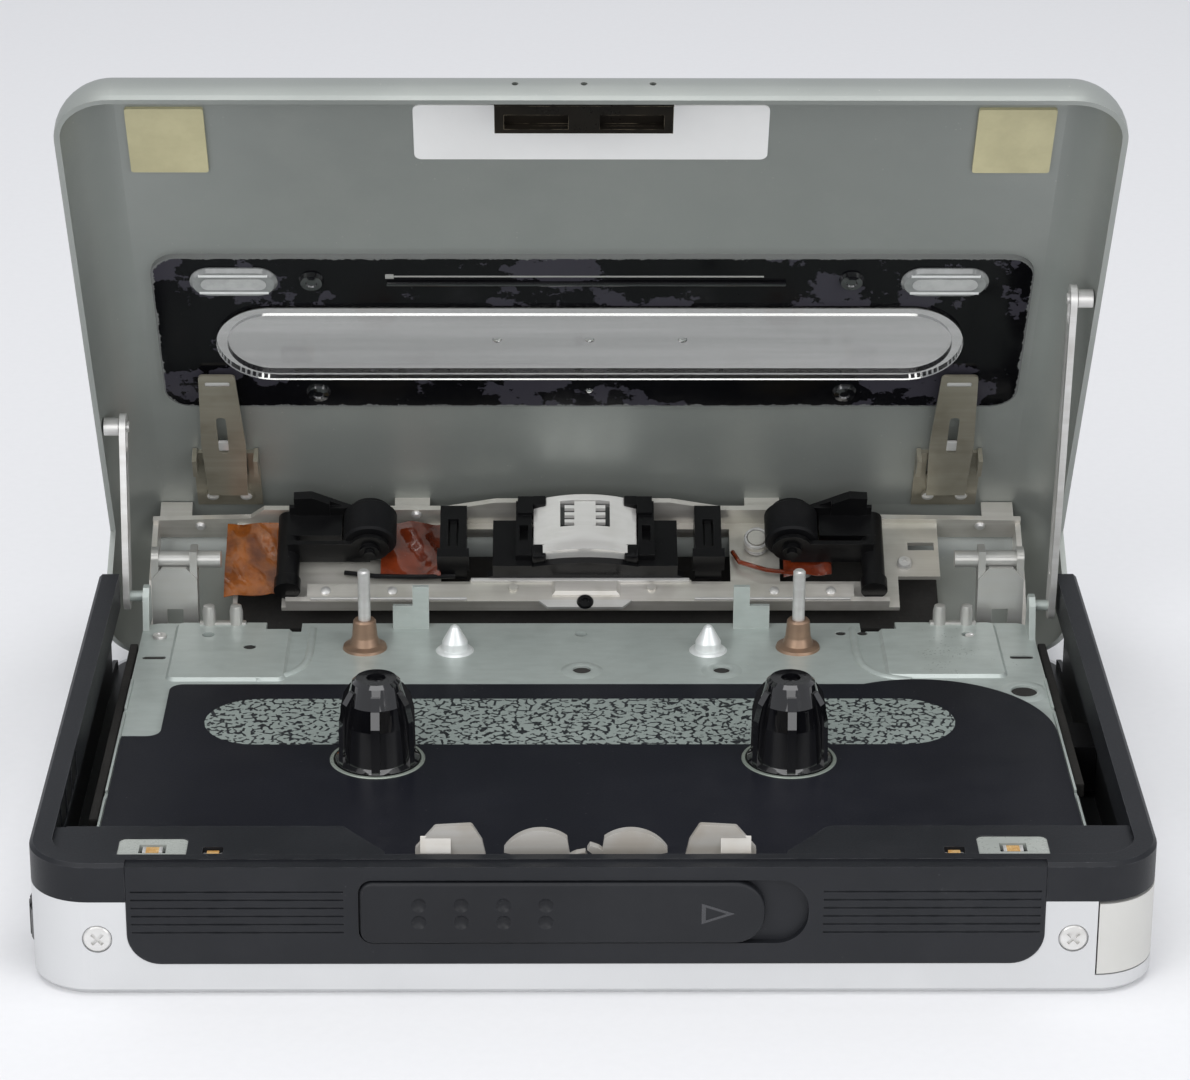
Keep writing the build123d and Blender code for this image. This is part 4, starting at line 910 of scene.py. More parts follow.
@dataclass
class Bench:
    """The loaded frame with the helpers that every sub-assembly needs."""

    frame: dict
    shop: Shop = field(default_factory=Shop)

    def __post_init__(self) -> None:
        """Work out how closed-lid coordinates turn into the open lid's."""
        hinge = next(j for j in self.frame["joints"] if j["name"] == "lid_hinge")
        pivot = Vector(hinge["pos_m"])
        turn = Matrix.Rotation(-math.radians(hinge["range_deg"][1]), 4, Vector(hinge["axis"]))
        self.opened = Matrix.Translation(pivot) @ turn @ Matrix.Translation(-pivot)

    def put(self, name: str, form: bmesh.types.BMesh, body: Body, finish: str, slot: str,
            smooth: bool = True) -> bpy.types.Object:
        """Turn a form in millimetres into a piece that rides on a body.

        Forms for the lid and the head are drawn with the lid shut, and turn open here.

        Args:
            name: the piece's name.
            form: its mesh in millimetres; freed here.
            body: the body it rides on.
            finish: key of its finish.
            slot: the record's material slot; not used.
            smooth: whether round faces are shaded smooth.

        Returns:
            The new object.
        """
        bmesh.ops.scale(form, vec=(MM, MM, MM), verts=form.verts)
        if body in (Body.LID, Body.HEAD):
            bmesh.ops.transform(form, matrix=self.opened, verts=form.verts)
        bmesh.ops.recalc_face_normals(form, faces=form.faces)
        mesh = bpy.data.meshes.new(name)
        form.to_mesh(mesh)
        form.free()
        piece = bpy.data.objects.new(name, mesh)
        bpy.context.scene.collection.objects.link(piece)
        mesh.materials.append(self.shop.get(finish))
        if smooth:
            mesh.shade_smooth()
            mesh.set_sharp_from_angle(angle=math.radians(SHARP_DEGREES))
        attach(piece, body.value)
        LOG.info("piece %s rides on %s", name, body.value)
        return piece

    def dress(self) -> None:
        """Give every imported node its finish."""
        for finish, nodes in NODE_FINISH.items():
            for name in nodes:
                mesh = self.frame["nodes"][name].data
                mesh.materials.clear()
                mesh.materials.append(self.shop.get(finish))
                LOG.info("node %s in %s", name, finish)


def bar(low: Point, high: Point, bevel: float = 0.1, segments: int = 2) -> bmesh.types.BMesh:
    """Make a block with rounded edges.

    Args:
        low: lowest corner.
        high: highest corner.
        bevel: radius of its edges.
        segments: facets across each rounded edge.

    Returns:
        The form.
    """
    form = bmesh.new()
    first, last = Vector(low), Vector(high)
    span = Matrix.Translation((first + last) / 2) @ Matrix.Diagonal((*(last - first), 1.0))
    bmesh.ops.create_cube(form, size=1.0, matrix=span)
    bmesh.ops.bevel(form, geom=form.edges[:], offset=bevel, segments=segments, affect="EDGES",
                    profile=EDGE_PROFILE)
    return form


def turned(profile: Profile, centre: Point, axis: str = "Z", steps: int = 28) -> bmesh.types.BMesh:
    """Turn a profile of (radius, height) pairs round an axis.

    Args:
        profile: the pairs, from one end to the other.
        centre: where height 0 of the axis is.
        axis: the axis to turn round: X, Y or Z.
        steps: facets round it.

    Returns:
        The form.
    """
    form = bmesh.new()
    rings = []
    for radius, height in profile:
        if radius < ON_AXIS:
            rings.append([form.verts.new((0.0, 0.0, height))] * steps)
            continue
        ring = []
        for i in range(steps):
            angle = 2 * math.pi * i / steps
            ring.append(form.verts.new((radius * math.cos(angle), radius * math.sin(angle), height)))
        rings.append(ring)
    for low, high in zip(rings, rings[1:]):
        for i in range(steps):
            corners = [low[i], low[(i + 1) % steps], high[(i + 1) % steps], high[i]]
            distinct = list(dict.fromkeys(corners))
            if len(distinct) > 2:
                form.faces.new(distinct)
    if axis != "Z":
        tilt = Matrix.Rotation(math.pi / 2, 4, "Y" if axis == "X" else "X")
        bmesh.ops.transform(form, matrix=tilt, verts=form.verts)
    bmesh.ops.translate(form, vec=Vector(centre), verts=form.verts)
    return form


def cut_sheet(outline: Profile, low: float, high: float, bevel: float = 0.0,
              plane: str = "XY") -> bmesh.types.BMesh:
    """Extrude a flat outline.

    Args:
        outline: its corners in order.
        low: one face's height.
        high: the other face's height.
        bevel: radius of the edges round the high face.
        plane: XY, or XZ for a sheet that faces the front.

    Returns:
        The form.
    """
    form = bmesh.new()
    place = (lambda a, b, h: (a, b, h)) if plane == "XY" else (lambda a, b, h: (a, h, b))
    base = [form.verts.new(place(a, b, low)) for a, b in outline]
    top = [form.verts.new(place(a, b, high)) for a, b in outline]
    form.faces.new(base[::-1])
    form.faces.new(top)
    for i, corner in enumerate(base):
        after = (i + 1) % len(base)
        form.faces.new([corner, base[after], top[after], top[i]])
    form.normal_update()  # the bevel reads the normals
    if bevel > 0:
        edges = [e for e in form.edges if all(v in top for v in e.verts)]
        bmesh.ops.bevel(form, geom=edges, offset=bevel, segments=2, affect="EDGES",
                        profile=EDGE_PROFILE)
    return form


def stadium(x0: float, x1: float, y0: float, y1: float, steps: int = 14) -> list[tuple[float, float]]:
    """Return the outline of a long shape with round ends.

    Args:
        x0: left end.
        x1: right end.
        y0: lower edge.
        y1: upper edge.
        steps: facets round each end.

    Returns:
        The outline's corners.
    """
    r, middle = (y1 - y0) / 2, (y0 + y1) / 2
    ends = []
    for centre, start in ((x1 - r, -0.5), (x0 + r, 0.5)):
        for i in range(steps + 1):
            angle = math.pi * (start + i / steps)
            ends.append((centre + r * math.cos(angle), middle + r * math.sin(angle)))
    return ends


def wire(points: Sequence[Point], radius: float, steps: int = 8) -> bmesh.types.BMesh:
    """Sweep a round wire along a smooth path.

    Args:
        points: the path's points.
        radius: the wire's radius.
        steps: facets round it.

    Returns:
        The form.
    """
    form = bmesh.new()
    path = [Vector(p) for p in points]
    rings = []
    side = WIRE_GUIDE.normalized()
    for i, spot in enumerate(path):
        along = (path[min(i + 1, len(path) - 1)] - path[max(i - 1, 0)]).normalized()
        across = along.cross(side).normalized()
        up = across.cross(along).normalized()
        ring = []
        for k in range(steps):
            angle = 2 * math.pi * k / steps
            out = across * math.cos(angle) + up * math.sin(angle)
            ring.append(form.verts.new(spot + out * radius))
        rings.append(ring)
    for near, far in zip(rings, rings[1:]):
        for k in range(steps):
            form.faces.new([near[k], near[(k + 1) % steps], far[(k + 1) % steps], far[k]])
    form.faces.new(rings[0][::-1])
    form.faces.new(rings[-1])
    return form


def joined(*forms: bmesh.types.BMesh) -> bmesh.types.BMesh:
    """Join several forms into one and free the sources.

    Args:
        *forms: the forms to join.

    Returns:
        One form.
    """
    whole = bmesh.new()
    for form in forms:
        part = bpy.data.meshes.new("part")
        form.to_mesh(part)
        whole.from_mesh(part)
        bpy.data.meshes.remove(part)
        form.free()
    return whole


@dataclass
class DeckFittings:
    """What lies on the deck: the speckled band, pressed rings, screws and spindle washers."""

    bench: Bench
    label_top: float = 8.1
    deck_top: float = 7.7
    reels: tuple[float, float] = (-22.03, 20.47)
    reel_y: float = -3.76
    hole: float = 5.15
    band_box: Box = (-40.6, 38.5, -0.3, 11.1)
    band_rise: float = 0.04
    band_facets: int = 12
    washer: Profile = ((4.5, -0.25), (4.88, -0.25), (4.92, 0.02), (4.85, 0.1), (4.55, 0.1), (4.5, -0.25))
    pressed_rings: Spots = ((-0.78, 19.5, 1.0), (14.4, 19.5, 0.95), (46.7, 13.8, 1.45))
    ring_steps: Profile = ((0.0, -0.1), (0.0, 0.1), (0.25, 0.2), (0.8, 0.14), (1.35, -0.02))
    rib_starts: tuple[tuple[int, float], ...] = ((-1, -30.6), (1, 29.4))
    rib_path: Profile = ((0.0, 31.0), (0.0, 24.0), (0.6, 20.6), (2.4, 18.2), (5.4, 16.9))
    rib_radius: float = 0.5
    rib_sink: float = 0.22
    rib_pieces: int = 8
    screw_spots: Spots = ((-47.4, 28.6, 0.8), (42.4, 28.4, 0.75), (-36.2, 29.4, 0.7))
    # painted shade: x, y, radius and rise of a black disc under each deck hole
    shaded_holes: tuple[tuple[float, float, float, float], ...] = (
        (-0.78, 19.5, 0.98, 0.0), (46.7, 13.8, 1.38, 0.0), (28.0, 29.6, 0.58, 0.0),
        (30.4, 29.6, 0.58, 0.0), (-37.2, 25.2, 0.68, 0.33), (14.4, 19.5, 0.88, 0.0),
    )
    shade_depth: float = 0.12
    slot_centres: tuple[float, float] = (-47.5, 47.4)
    flange_faces: tuple[float, float] = (49.12, 49.38)
    flange_runs: Profile = ((-33.0, -12.6), (-11.2, 8.0), (9.0, 16.5))
    clip_x: float = 40.6
    clip_pin: Profile = ((0.0, 0.0), (0.75, 0.0), (0.75, 2.6), (0.6, 3.2), (0.0, 3.4))

    def band(self) -> None:
        """Lay the speckled band on the cover, cut away round the spindles' holes."""
        y0 = self.band_box[2]
        lower = []
        for centre in self.reels:
            reach = math.sqrt(self.hole ** 2 - (y0 - self.reel_y) ** 2)
            start = math.atan2(y0 - self.reel_y, -reach)
            end = math.atan2(y0 - self.reel_y, reach)
            for i in range(self.band_facets + 1):
                angle = start + (end - start) * i / self.band_facets
                x = centre + self.hole * math.cos(angle)
                lower.append((x, self.reel_y + self.hole * math.sin(angle)))
        form = cut_sheet(stadium(*self.band_box) + lower, self.label_top, self.label_top + self.band_rise)
        self.bench.put("speckled_band", form, Body.BASE, "band", "plate_black", smooth=False)

    def washers(self) -> None:
        """Set a thin pale ring in each spindle's hole."""
        rings = [turned(self.washer, (x, self.reel_y, self.label_top), steps=48) for x in self.reels]
        self.bench.put("spindle_washers", joined(*rings), Body.BASE, "washer", "steel")

    def pressings(self) -> None:
        """Raise low pressed rings round the deck's holes and run shallow ribs beside the pads."""
        rings = []
        for x, y, r in self.pressed_rings:
            profile = [(r + out, rise) for out, rise in self.ring_steps]
            rings.append(turned(profile, (x, y, self.deck_top), steps=40))
        ribs = [
            self._rib([(x + side * out, y) for out, y in self.rib_path]) for side, x in self.rib_starts
        ]
        self.bench.put("deck_pressings", joined(*rings, *ribs), Body.BASE, "deck", "deck_green")

    def _rib(self, path: Profile) -> bmesh.types.BMesh:
        """Lay one low rounded rib along a smooth curve through a path's points.

        Args:
            path: the middle line's points, in plan.

        Returns:
            The form.
        """
        smooth = []
        for i in range(len(path) - 1):
            p0, p1 = path[max(i - 1, 0)], path[i]
            p2, p3 = path[i + 1], path[min(i + 2, len(path) - 1)]
            for k in range(self.rib_pieces):
                t = k / self.rib_pieces
                smooth.append(tuple(
                    0.5 * (2 * b + (c - a) * t + (2 * a - 5 * b + 4 * c - d) * t ** 2
                           + (3 * b - a - 3 * c + d) * t ** 3)
                    for a, b, c, d in zip(p0, p1, p2, p3)
                ))
        smooth.append(path[-1])
        return wire([(x, y, self.deck_top - self.rib_sink) for x, y in smooth], self.rib_radius, 16)

    def screws(self) -> None:
        """Set small screws and rivets in the deck."""
        heads = []
        for x, y, r in self.screw_spots:
            profile = [(0.0, 0.22), (r * 0.35, 0.22), (r * 0.4, 0.32), (r * 0.9, 0.3), (r, 0.16), (r, -0.1)]
            heads.append(turned(profile, (x, y, self.deck_top), steps=24))
        self.bench.put("deck_screws", joined(*heads), Body.BASE, "bright", "steel")

    def hole_shade(self) -> None:
        """Set black discs just under the deck's holes and slots as painted shade, where a thin sheet would
        show only shade.
        """
        discs = []
        for x, y, r, rise in self.shaded_holes:
            profile = [(0.0, -self.shade_depth), (r, -self.shade_depth), (r, -0.4), (0.0, -0.4)]
            discs.append(turned(profile, (x, y, self.deck_top + rise), steps=32))
        top = self.deck_top - self.shade_depth
        for x in self.slot_centres:
            discs.append(cut_sheet(stadium(x - 1.28, x + 1.28, 22.57, 23.43), top - 0.3, top))
        # painted shade: the dark foam finish here stands for the shade inside the holes and slots
        self.bench.put("painted_hole_shade", joined(*discs), Body.BASE, "foam", "deck_green", smooth=False)

    def flanges(self) -> None:
        """Run a thin bright edge along each side of the deck, level with the cover."""
        edges = []
        for side in SIDES:
            low, high = sorted(side * face for face in self.flange_faces)
            edges += [bar((low, y0, 7.6), (high, y1, 8.08), 0.05) for y0, y1 in self.flange_runs]
        self.bench.put("deck_flanges", joined(*edges), Body.BASE, "deck", "deck_green")

    def clips(self) -> None:
        """Stand two pale clips with rolled tops at the deck's rear corners."""
        parts = []
        for side in SIDES:
            x = side * self.clip_x
            parts += [turned(self.clip_pin, (x + dx, 31.6, 7.0), steps=18) for dx in (-1.5, 1.5)]
            parts.append(bar((x - 2.6, 31.2, 6.4), (x + 2.6, 32.1, 8.3), 0.2))
        self.bench.put("rear_clips", joined(*parts), Body.BASE, "pale", "steel")

    def build(self) -> None:
        """Build everything that lies on the deck."""
        self.band()
        self.washers()
        self.pressings()
        self.screws()
        self.hole_shade()
        self.flanges()
        self.clips()


@dataclass
class FrontFittings:
    """Small parts of the front: the knob's arrow, the lamps' end caps and the pockets' floors."""

    bench: Bench
    knob_face: float = -40.35
    ledge_top: float = 13.5
    arrow_corners: Profile = ((10.2, 7.95), (13.4, 9.05), (10.2, 10.15))
    arrow_hollow: float = 0.62
    arrow_rise: float = 0.035
    arrow_root: float = 0.1
    chip_centres: tuple[float, float] = (-36.4, 34.5)
    lamps: Spots = ((-42.2, -35.2, 6.6), (40.2, -35.0, 6.8), (-36.4, -35.7, 2.0), (34.5, -35.7, 2.0))
    long_lamp: float = 3.0

    def arrow(self) -> None:
        """Raise a plain hollow triangle on the knob."""
        form = bmesh.new()
        points = self.arrow_corners
        mid = (sum(p[0] for p in points) / 3, sum(p[1] for p in points) / 3)
        inner = [
            (mid[0] + (x - mid[0]) * self.arrow_hollow, mid[1] + (z - mid[1]) * self.arrow_hollow)
            for x, z in points
        ]
        front, back = self.knob_face - self.arrow_rise, self.knob_face + self.arrow_root
        loops = []
        for outline, y in ((points, back), (points, front), (inner, front), (inner, back)):
            loops.append([form.verts.new((x, y, z)) for x, z in outline])
        for near, far in zip(loops, loops[1:]):
            for i in range(3):
                form.faces.new([near[i], near[(i + 1) % 3], far[(i + 1) % 3], far[i]])
        self.bench.put("knob_arrow", form, Body.KNOB, "arrow", "panel_black", smooth=False)

    def chips(self) -> None:
        """Set a small chip in each of the two short pockets."""
        low, high = self.ledge_top - 0.7, self.ledge_top - 0.25
        forms = [bar((x - 0.6, -36.2, low), (x + 0.6, -35.2, high), 0.08) for x in self.chip_centres]
        self.bench.put("small_chips", joined(*forms), Body.BASE, "lamp", "lamp")

    def caps(self) -> None:
        """Cap the chip lamps' ends with solder and give each a dark pocket floor."""
        ends, floors = [], []
        for x, y, length in self.lamps:
            base = self.ledge_top - (0.8 if length > self.long_lamp else 1.2)
            for side in SIDES:
                near, far = sorted((x + side * 0.62, x + side * 0.96))
                ends.append(bar((near, y - 0.64, base), (far, y + 0.64, base + 0.64), 0.06))
            half = 1.28 if length > self.long_lamp else 0.98
            floors.append(bar((x - half, y - 0.72, base - 0.02), (x + half, y + 0.72, base + 0.08), 0.03))
        self.bench.put("lamp_ends", joined(*ends), Body.BASE, "bright", "steel")
        self.bench.put("lamp_pockets", joined(*floors), Body.BASE, "moulded", "frame_black")

    def build(self) -> None:
        """Build the front's small parts."""
        self.arrow()
        self.chips()
        self.caps()


@dataclass
class WindowFittings:
    """Moulded and printed details on the window's inner side, drawn with the lid shut."""

    bench: Bench
    lid_inner: float = 19.8
    surround: float = 0.6
    lens_proud: float = 0.3
    boss_spots: Profile = ((-29.7, -6.15), (28.0, -6.25), (-29.8, 12.85), (28.3, 12.85))
    boss: Profile = ((0.0, -0.34), (0.5, -0.34), (0.62, -0.5), (1.15, -0.46), (1.35, 0.0))
    lens_drops: Profile = ((-10.0, 4.15), (0.1, 4.15), (10.2, 4.15))
    lower_drop: tuple[float, float] = (0.1, 12.6)
    prism_x: float = 38.0
    ridge_lines: tuple[float, float] = (-7.42, -4.68)
    tray: Box = (-9.6, 8.0, -38.6, -34.1)

    def bosses(self) -> None:
        """Stand four low bosses in the corners of the black surround."""
        z = self.lid_inner - self.surround
        forms = [turned(self.boss, (x, y, z), steps=32) for x, y in self.boss_spots]
        self.bench.put("window_bosses", joined(*forms), Body.LID, "gloss", "gloss_black")

    def line(self) -> None:
        """Print a thin pale line with a blunt end above the window, and raise a rib below it."""
        z = self.lid_inner - self.surround
        thin = bar((-21.7, -6.95, z - 0.05), (18.6, -6.72, z), 0.02)
        blunt = bar((-21.8, -7.2, z - 0.08), (-20.9, -6.5, z), 0.03)
        rib = bar((-21.7, -6.1, z - 0.4), (21.0, -5.6, z), 0.12)
        self.bench.put("window_line", joined(thin, blunt), Body.LID, "pale", "steel")
        self.bench.put("window_rib", rib, Body.LID, "gloss", "gloss_black")

    def dots(self) -> None:
        """Raise three drops on the lens and one below it."""
        large, small = ((0.0, -0.2), (0.3, -0.16), (0.5, 0.0)), ((0.0, -0.2), (0.25, -0.16), (0.4, 0.0))
        z = self.lid_inner - self.lens_proud
        forms = [turned(large, (x, y, z), steps=20) for x, y in self.lens_drops]
        forms.append(turned(small, (*self.lower_drop, self.lid_inner - self.surround), steps=16))
        self.bench.put("lens_drops", joined(*forms), Body.LID, "drop", "clear")

    def prisms(self) -> None:
        """Run two ridges coloured near-white as painted highlights along each side prism, with a low
        rounded step between them.
        """
        z = self.lid_inner
        ridges, steps = [], []
        for side in SIDES:
            x = side * self.prism_x
            for y in self.ridge_lines:
                ridges.append(bar((x - 3.7, y - 0.15, z - 1.2), (x + 3.7, y + 0.15, z - 1.02), 0.06))
            steps.append(cut_sheet(stadium(x - 3.5, x + 3.5, -6.9, -5.2, 10), z - 1.18, z - 1.02, 0.05))
        # painted highlight on the prism ridges
        self.bench.put("prism_ridges", joined(*ridges), Body.LID, "ridge", "clear")
        self.bench.put("prism_steps", joined(*steps), Body.LID, "haze", "clear")

    def pocket(self) -> None:
        """Close the catch strip's back with a shallow dark tray that puts painted shade behind its slots,
        so that no hook meets the label.
        """
        x0, x1, y0, y1 = self.tray
        walls = [
            bar((x0, y0, 16.0), (x1, y1, 16.25), 0.06),
            bar((x0, y1 - 0.3, 15.52), (x1, y1, 16.1), 0.05),
            bar((x0, y0, 15.52), (x0 + 0.3, y1, 16.1), 0.05),
            bar((x1 - 0.3, y0, 15.52), (x1, y1, 16.1), 0.05),
        ]
        # painted shade: the dark tray stands for the shade seen through the slots
        self.bench.put("catch_shade_tray", joined(*walls), Body.LID, "strip", "lid_metal")

    def build(self) -> None:
        """Build the window's details."""
        self.bosses()
        self.line()
        self.dots()
        self.prisms()
        self.pocket()


@dataclass
class MechanismFittings:
    """Rivets, screws, springs, films and wires on the carrier in the lid, drawn with the lid shut."""

    bench: Bench
    web: float = 34.2
    head_x: float = -0.3
    flange_rivets: Profile = (
        (-44.2, 34.6), (-30.0, 32.6), (-19.5, 32.4), (23.0, 32.6), (33.0, 34.4), (45.0, 34.6),
    )
    flange_z: float = 16.6
    band_rivets: Profile = ((-29.5, 6.6), (-22.0, 6.6), (21.0, 6.6), (27.4, 6.6))
    band_face: float = 33.05
    leaf_x: float = 40.8
    screw_spots: Spots = ((13.9, 13.3, 1.15), (-19.9, 13.6, 0.95), (24.6, 10.4, 0.9), (36.0, 11.2, 0.85))
    coil_centre: tuple[float, float] = (19.2, 13.6)
    coil_radius: float = 1.25
    coil_start: float = 32.2
    coil_length: float = 1.7
    coil_turns: float = 4.0
    coil_facets: int = 18
    coil_wire: float = 0.17
    lobes: tuple[tuple[str, tuple[float, float], tuple[float, float], str, int], ...] = (
        ("crumpled_film", (-41.0, -33.8), (6.2, 16.3), "film", 3),
        ("folded_film", (-23.4, -16.6), (8.8, 16.2), "film_red", 11),
        ("film_tail", (22.2, 27.6), (9.0, 12.6), "film_red", 17),
    )
    film_sheet: float = 0.09
    film_stand: float = 0.75
    film_grid: tuple[int, int] = (12, 16)
    wire_radius: float = 0.28

    def rivets(self) -> None:
        """Set domed rivets along the carrier's flange and its lower band."""
        dome = ((0.0, 0.0), (0.4, 0.05), (0.62, 0.3), (0.62, 0.5))
        heads = [turned(dome, (x, y, self.flange_z), steps=20) for x, y in self.flange_rivets]
        dome = ((0.55, 0.0), (0.55, 0.2), (0.3, 0.34), (0.0, 0.36))
        heads += [turned(dome, (x, self.band_face, z), "Y", 20) for x, z in self.band_rivets]
        self.bench.put("carrier_rivets", joined(*heads), Body.LID, "bright", "steel")

    def leaves(self) -> None:
        """Brighten each leaf spring with two rivets, a rolled lip in its slot and a tongue below it."""
        cap = ((0.0, -0.2), (0.4, -0.17), (0.66, -0.02), (0.66, 0.05))
        parts = []
        for side in SIDES:
            x = side * self.leaf_x
            parts += [turned(cap, (x + ear * 1.9, 31.6, 18.95), steps=24) for ear in SIDES]
            parts.append(bar((x - 1.34, 10.12, 18.22), (x + 1.34, 10.68, 18.5), 0.08))
            parts.append(bar((x - 0.56, 20.6, 18.2), (x + 0.56, 22.2, 18.5), 0.1))
        self.bench.put("leaf_details", joined(*parts), Body.LID, "bright", "steel")

    def screws(self) -> None:
        """Set screws beside the head, and a coil spring on the azimuth screw."""
        heads = []
        for x, z, r in self.screw_spots:
            profile = [(0.0, 0.25), (r * 0.3, 0.25), (r * 0.36, 0.5), (r * 0.8, 0.46), (r, 0.2), (r, -0.5)]
            heads.append(turned(profile, (x, self.web - 0.2, z), "Y", 24))
        self.bench.put("carrier_screws", joined(*heads), Body.LID, "bright", "steel")
        points = []
        steps = self.coil_turns * self.coil_facets
        for i in range(int(steps) + 1):
            angle = 2 * math.pi * i / self.coil_facets
            x = self.coil_centre[0] + self.coil_radius * math.cos(angle)
            z = self.coil_centre[1] + self.coil_radius * math.sin(angle)
            points.append((x, self.coil_start + self.coil_length * i / steps, z))
        coil = wire(points, self.coil_wire)
        self.bench.put("azimuth_spring", coil, Body.LID, "bright", "steel")

    def band(self) -> None:
        """Shape the lower band below the head: a folded edge, a centre hook and a dark screw."""
        y = self.band_face - 0.1
        parts = [
            bar((-13.2, y - 0.35, 7.75), (11.5, y + 0.1, 8.2), 0.12),
            cut_sheet([(-5.6, 5.3), (5.0, 5.3), (3.9, 4.3), (-4.5, 4.3)], y - 0.1, y + 0.3, 0.0, "XZ"),
            bar((-31.2, y - 0.25, 5.25), (-13.6, y + 0.05, 5.6), 0.1),
            bar((12.0, y - 0.25, 5.25), (29.6, y + 0.05, 5.6), 0.1),
        ]
        self.bench.put("band_edges", joined(*parts), Body.LID, "bright", "steel")
        profile = ((0.0, 0.1), (0.35, 0.1), (0.4, 0.35), (0.8, 0.32), (0.95, 0.1), (0.95, 0.0))
        dark = turned(profile, (self.head_x, y - 0.05, 5.0), "Y")
        self.bench.put("band_screw", dark, Body.LID, "moulded", "black_plastic")

    def films(self) -> None:
        """Crumple the flexible circuit: an amber lobe at the left end and red ones by the guides."""
        for name, across, up, finish, seed in self.lobes:
            form = self._crumple(across, up, seed)
            piece = self.bench.put(name, form, Body.LID, finish, "film_amber")
            if name == "crumpled_film":
                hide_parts("flex_film")

    def _crumple(self, across: tuple[float, float], up: tuple[float, float],
                 seed: int) -> bmesh.types.BMesh:
        """Fold a thin sheet into creased facets.

        Args:
            across: its ends in X.
            up: its ends in Z.
            seed: where in the noise field it is cut from.

        Returns:
            The form.
        """
        form = bmesh.new()
        columns, rows = self.film_grid
        sheets = []
        for depth in (0.0, self.film_sheet):
            grid = []
            for j in range(rows + 1):
                line = []
                for i in range(columns + 1):
                    x = across[0] + (across[1] - across[0]) * i / columns
                    z = up[0] + (up[1] - up[0]) * j / rows
                    y = self.web - self.film_stand - self._fold(x, z, seed) + depth
                    line.append(form.verts.new((x, y, z)))
                grid.append(line)
            sheets.append(grid)
        for front, grid in zip((True, False), sheets):
            for j in range(rows):
                for i in range(columns):
                    quad = [grid[j][i], grid[j][i + 1], grid[j + 1][i + 1], grid[j + 1][i]]
                    form.faces.new(quad if front else quad[::-1])
        near, far = sheets
        rim = [(0, i) for i in range(columns)] + [(j, columns) for j in range(rows)]
        rim += [(rows, i) for i in range(columns, 0, -1)] + [(j, 0) for j in range(rows, 0, -1)]
        for (j0, i0), (j1, i1) in zip(rim, rim[1:] + rim[:1]):
            form.faces.new([near[j0][i0], far[j0][i0], far[j1][i1], near[j1][i1]])
        return form

    @staticmethod
    def _fold(x: float, z: float, seed: int) -> float:
        """Work out how far the crumpled film stands out at a point.

        Args:
            x: the point's place across.
            z: its height.
            seed: where in the noise field the sheet is cut from.

        Returns:
            The distance.
        """
        spot = Vector((x * 0.3 + seed, z * 0.22, seed * 1.7))
        fold = noise.noise(spot) * 1.1 + abs(noise.noise(spot * 1.7)) * 0.5
        crease = abs(((x + z * 0.55 + seed) * 0.48) % 2.0 - 1.0) * 0.7
        return fold * 0.5 + crease * 0.6

    def wires(self) -> None:
        """Run a dark and a red wire behind the guides."""
        dark = [(-27.5, 33.6, 9.6), (-24.0, 33.3, 8.9), (-19.0, 33.2, 8.7), (-15.0, 33.4, 9.0)]
        red = [(16.5, 33.7, 12.6), (17.2, 33.2, 10.8), (20.2, 33.1, 9.6), (24.6, 33.4, 9.2)]
        form = wire(dark, self.wire_radius)
        self.bench.put("wire_dark", form, Body.LID, "moulded", "black_plastic")
        form = wire(red, self.wire_radius)
        self.bench.put("wire_red", form, Body.LID, "film_red", "film_amber")

    def head(self) -> None:
        """Back the head's window with black and set a fork at each of its sides."""
        x = self.head_x
        window = bar((x - 3.0, 29.22, 12.35), (x + 3.0, 29.27, 16.25), 0.02)
        self.bench.put("head_window", window, Body.HEAD, "gloss", "gloss_black")
        prongs = []
        for side in SIDES:
            near, far = sorted((x + side * 4.4, x + side * 6.0))
            prongs.append(bar((near, 28.9, 15.7), (far, 30.6, 17.05), 0.25))
            prongs.append(bar((near, 29.0, 8.5), (far, 31.0, 10.3), 0.3))
        self.bench.put("head_prongs", joined(*prongs), Body.HEAD, "moulded", "black_plastic")

    def build(self) -> None:
        """Build everything on the carrier."""
        self.rivets()
        self.leaves()
        self.screws()
        self.band()
        self.films()
        self.wires()
        self.head()


@dataclass
class GapFittings:
    """Dark foam that closes the gaps behind the hinge and beside the deck."""

    bench: Bench
    rear_low: Point = (-40.0, 38.0, 5.0)
    rear_high: Point = (40.0, 38.9, 15.2)
    side_faces: tuple[float, float] = (49.7, 50.6)
    side_levels: tuple[float, float] = (5.6, 7.2)

    def tail(self) -> None:
        """Glue a foam strip along the lid's rear wall, above the hinge."""
        form = bar(self.rear_low, self.rear_high, 0.25)
        self.bench.put("rear_foam", form, Body.LID, "foam", "black_plastic", smooth=False)

    def sides(self) -> None:
        """Lay foam strips between the deck and the case's walls."""
        strips = []
        for side, front in zip(SIDES, (-16.0, -8.0)):
            low, high = sorted(side * face for face in self.side_faces)
            strips.append(bar((low, front, self.side_levels[0]), (high, 28.0, self.side_levels[1]), 0.2))
        self.bench.put("side_foam", joined(*strips), Body.BASE, "foam", "black_plastic", smooth=False)

    def build(self) -> None:
        """Build the foam strips."""
        self.tail()
        self.sides()


@dataclass(frozen=True)
class Lamp:
    """A square area lamp, in metres and watts."""

    name: str
    place: Point
    aim: Point
    size: float
    power: float

    def hang(self) -> None:
        """Hang the lamp and turn it to its aim."""
        light = bpy.data.lights.new(self.name, "AREA")
        light.size = self.size
        light.energy = self.power
        lamp = bpy.data.objects.new(self.name, light)
        lamp.location = self.place
        facing = Vector(self.aim) - Vector(self.place)
        lamp.rotation_euler = facing.to_track_quat("-Z", "Y").to_euler()
        bpy.context.scene.collection.objects.link(lamp)


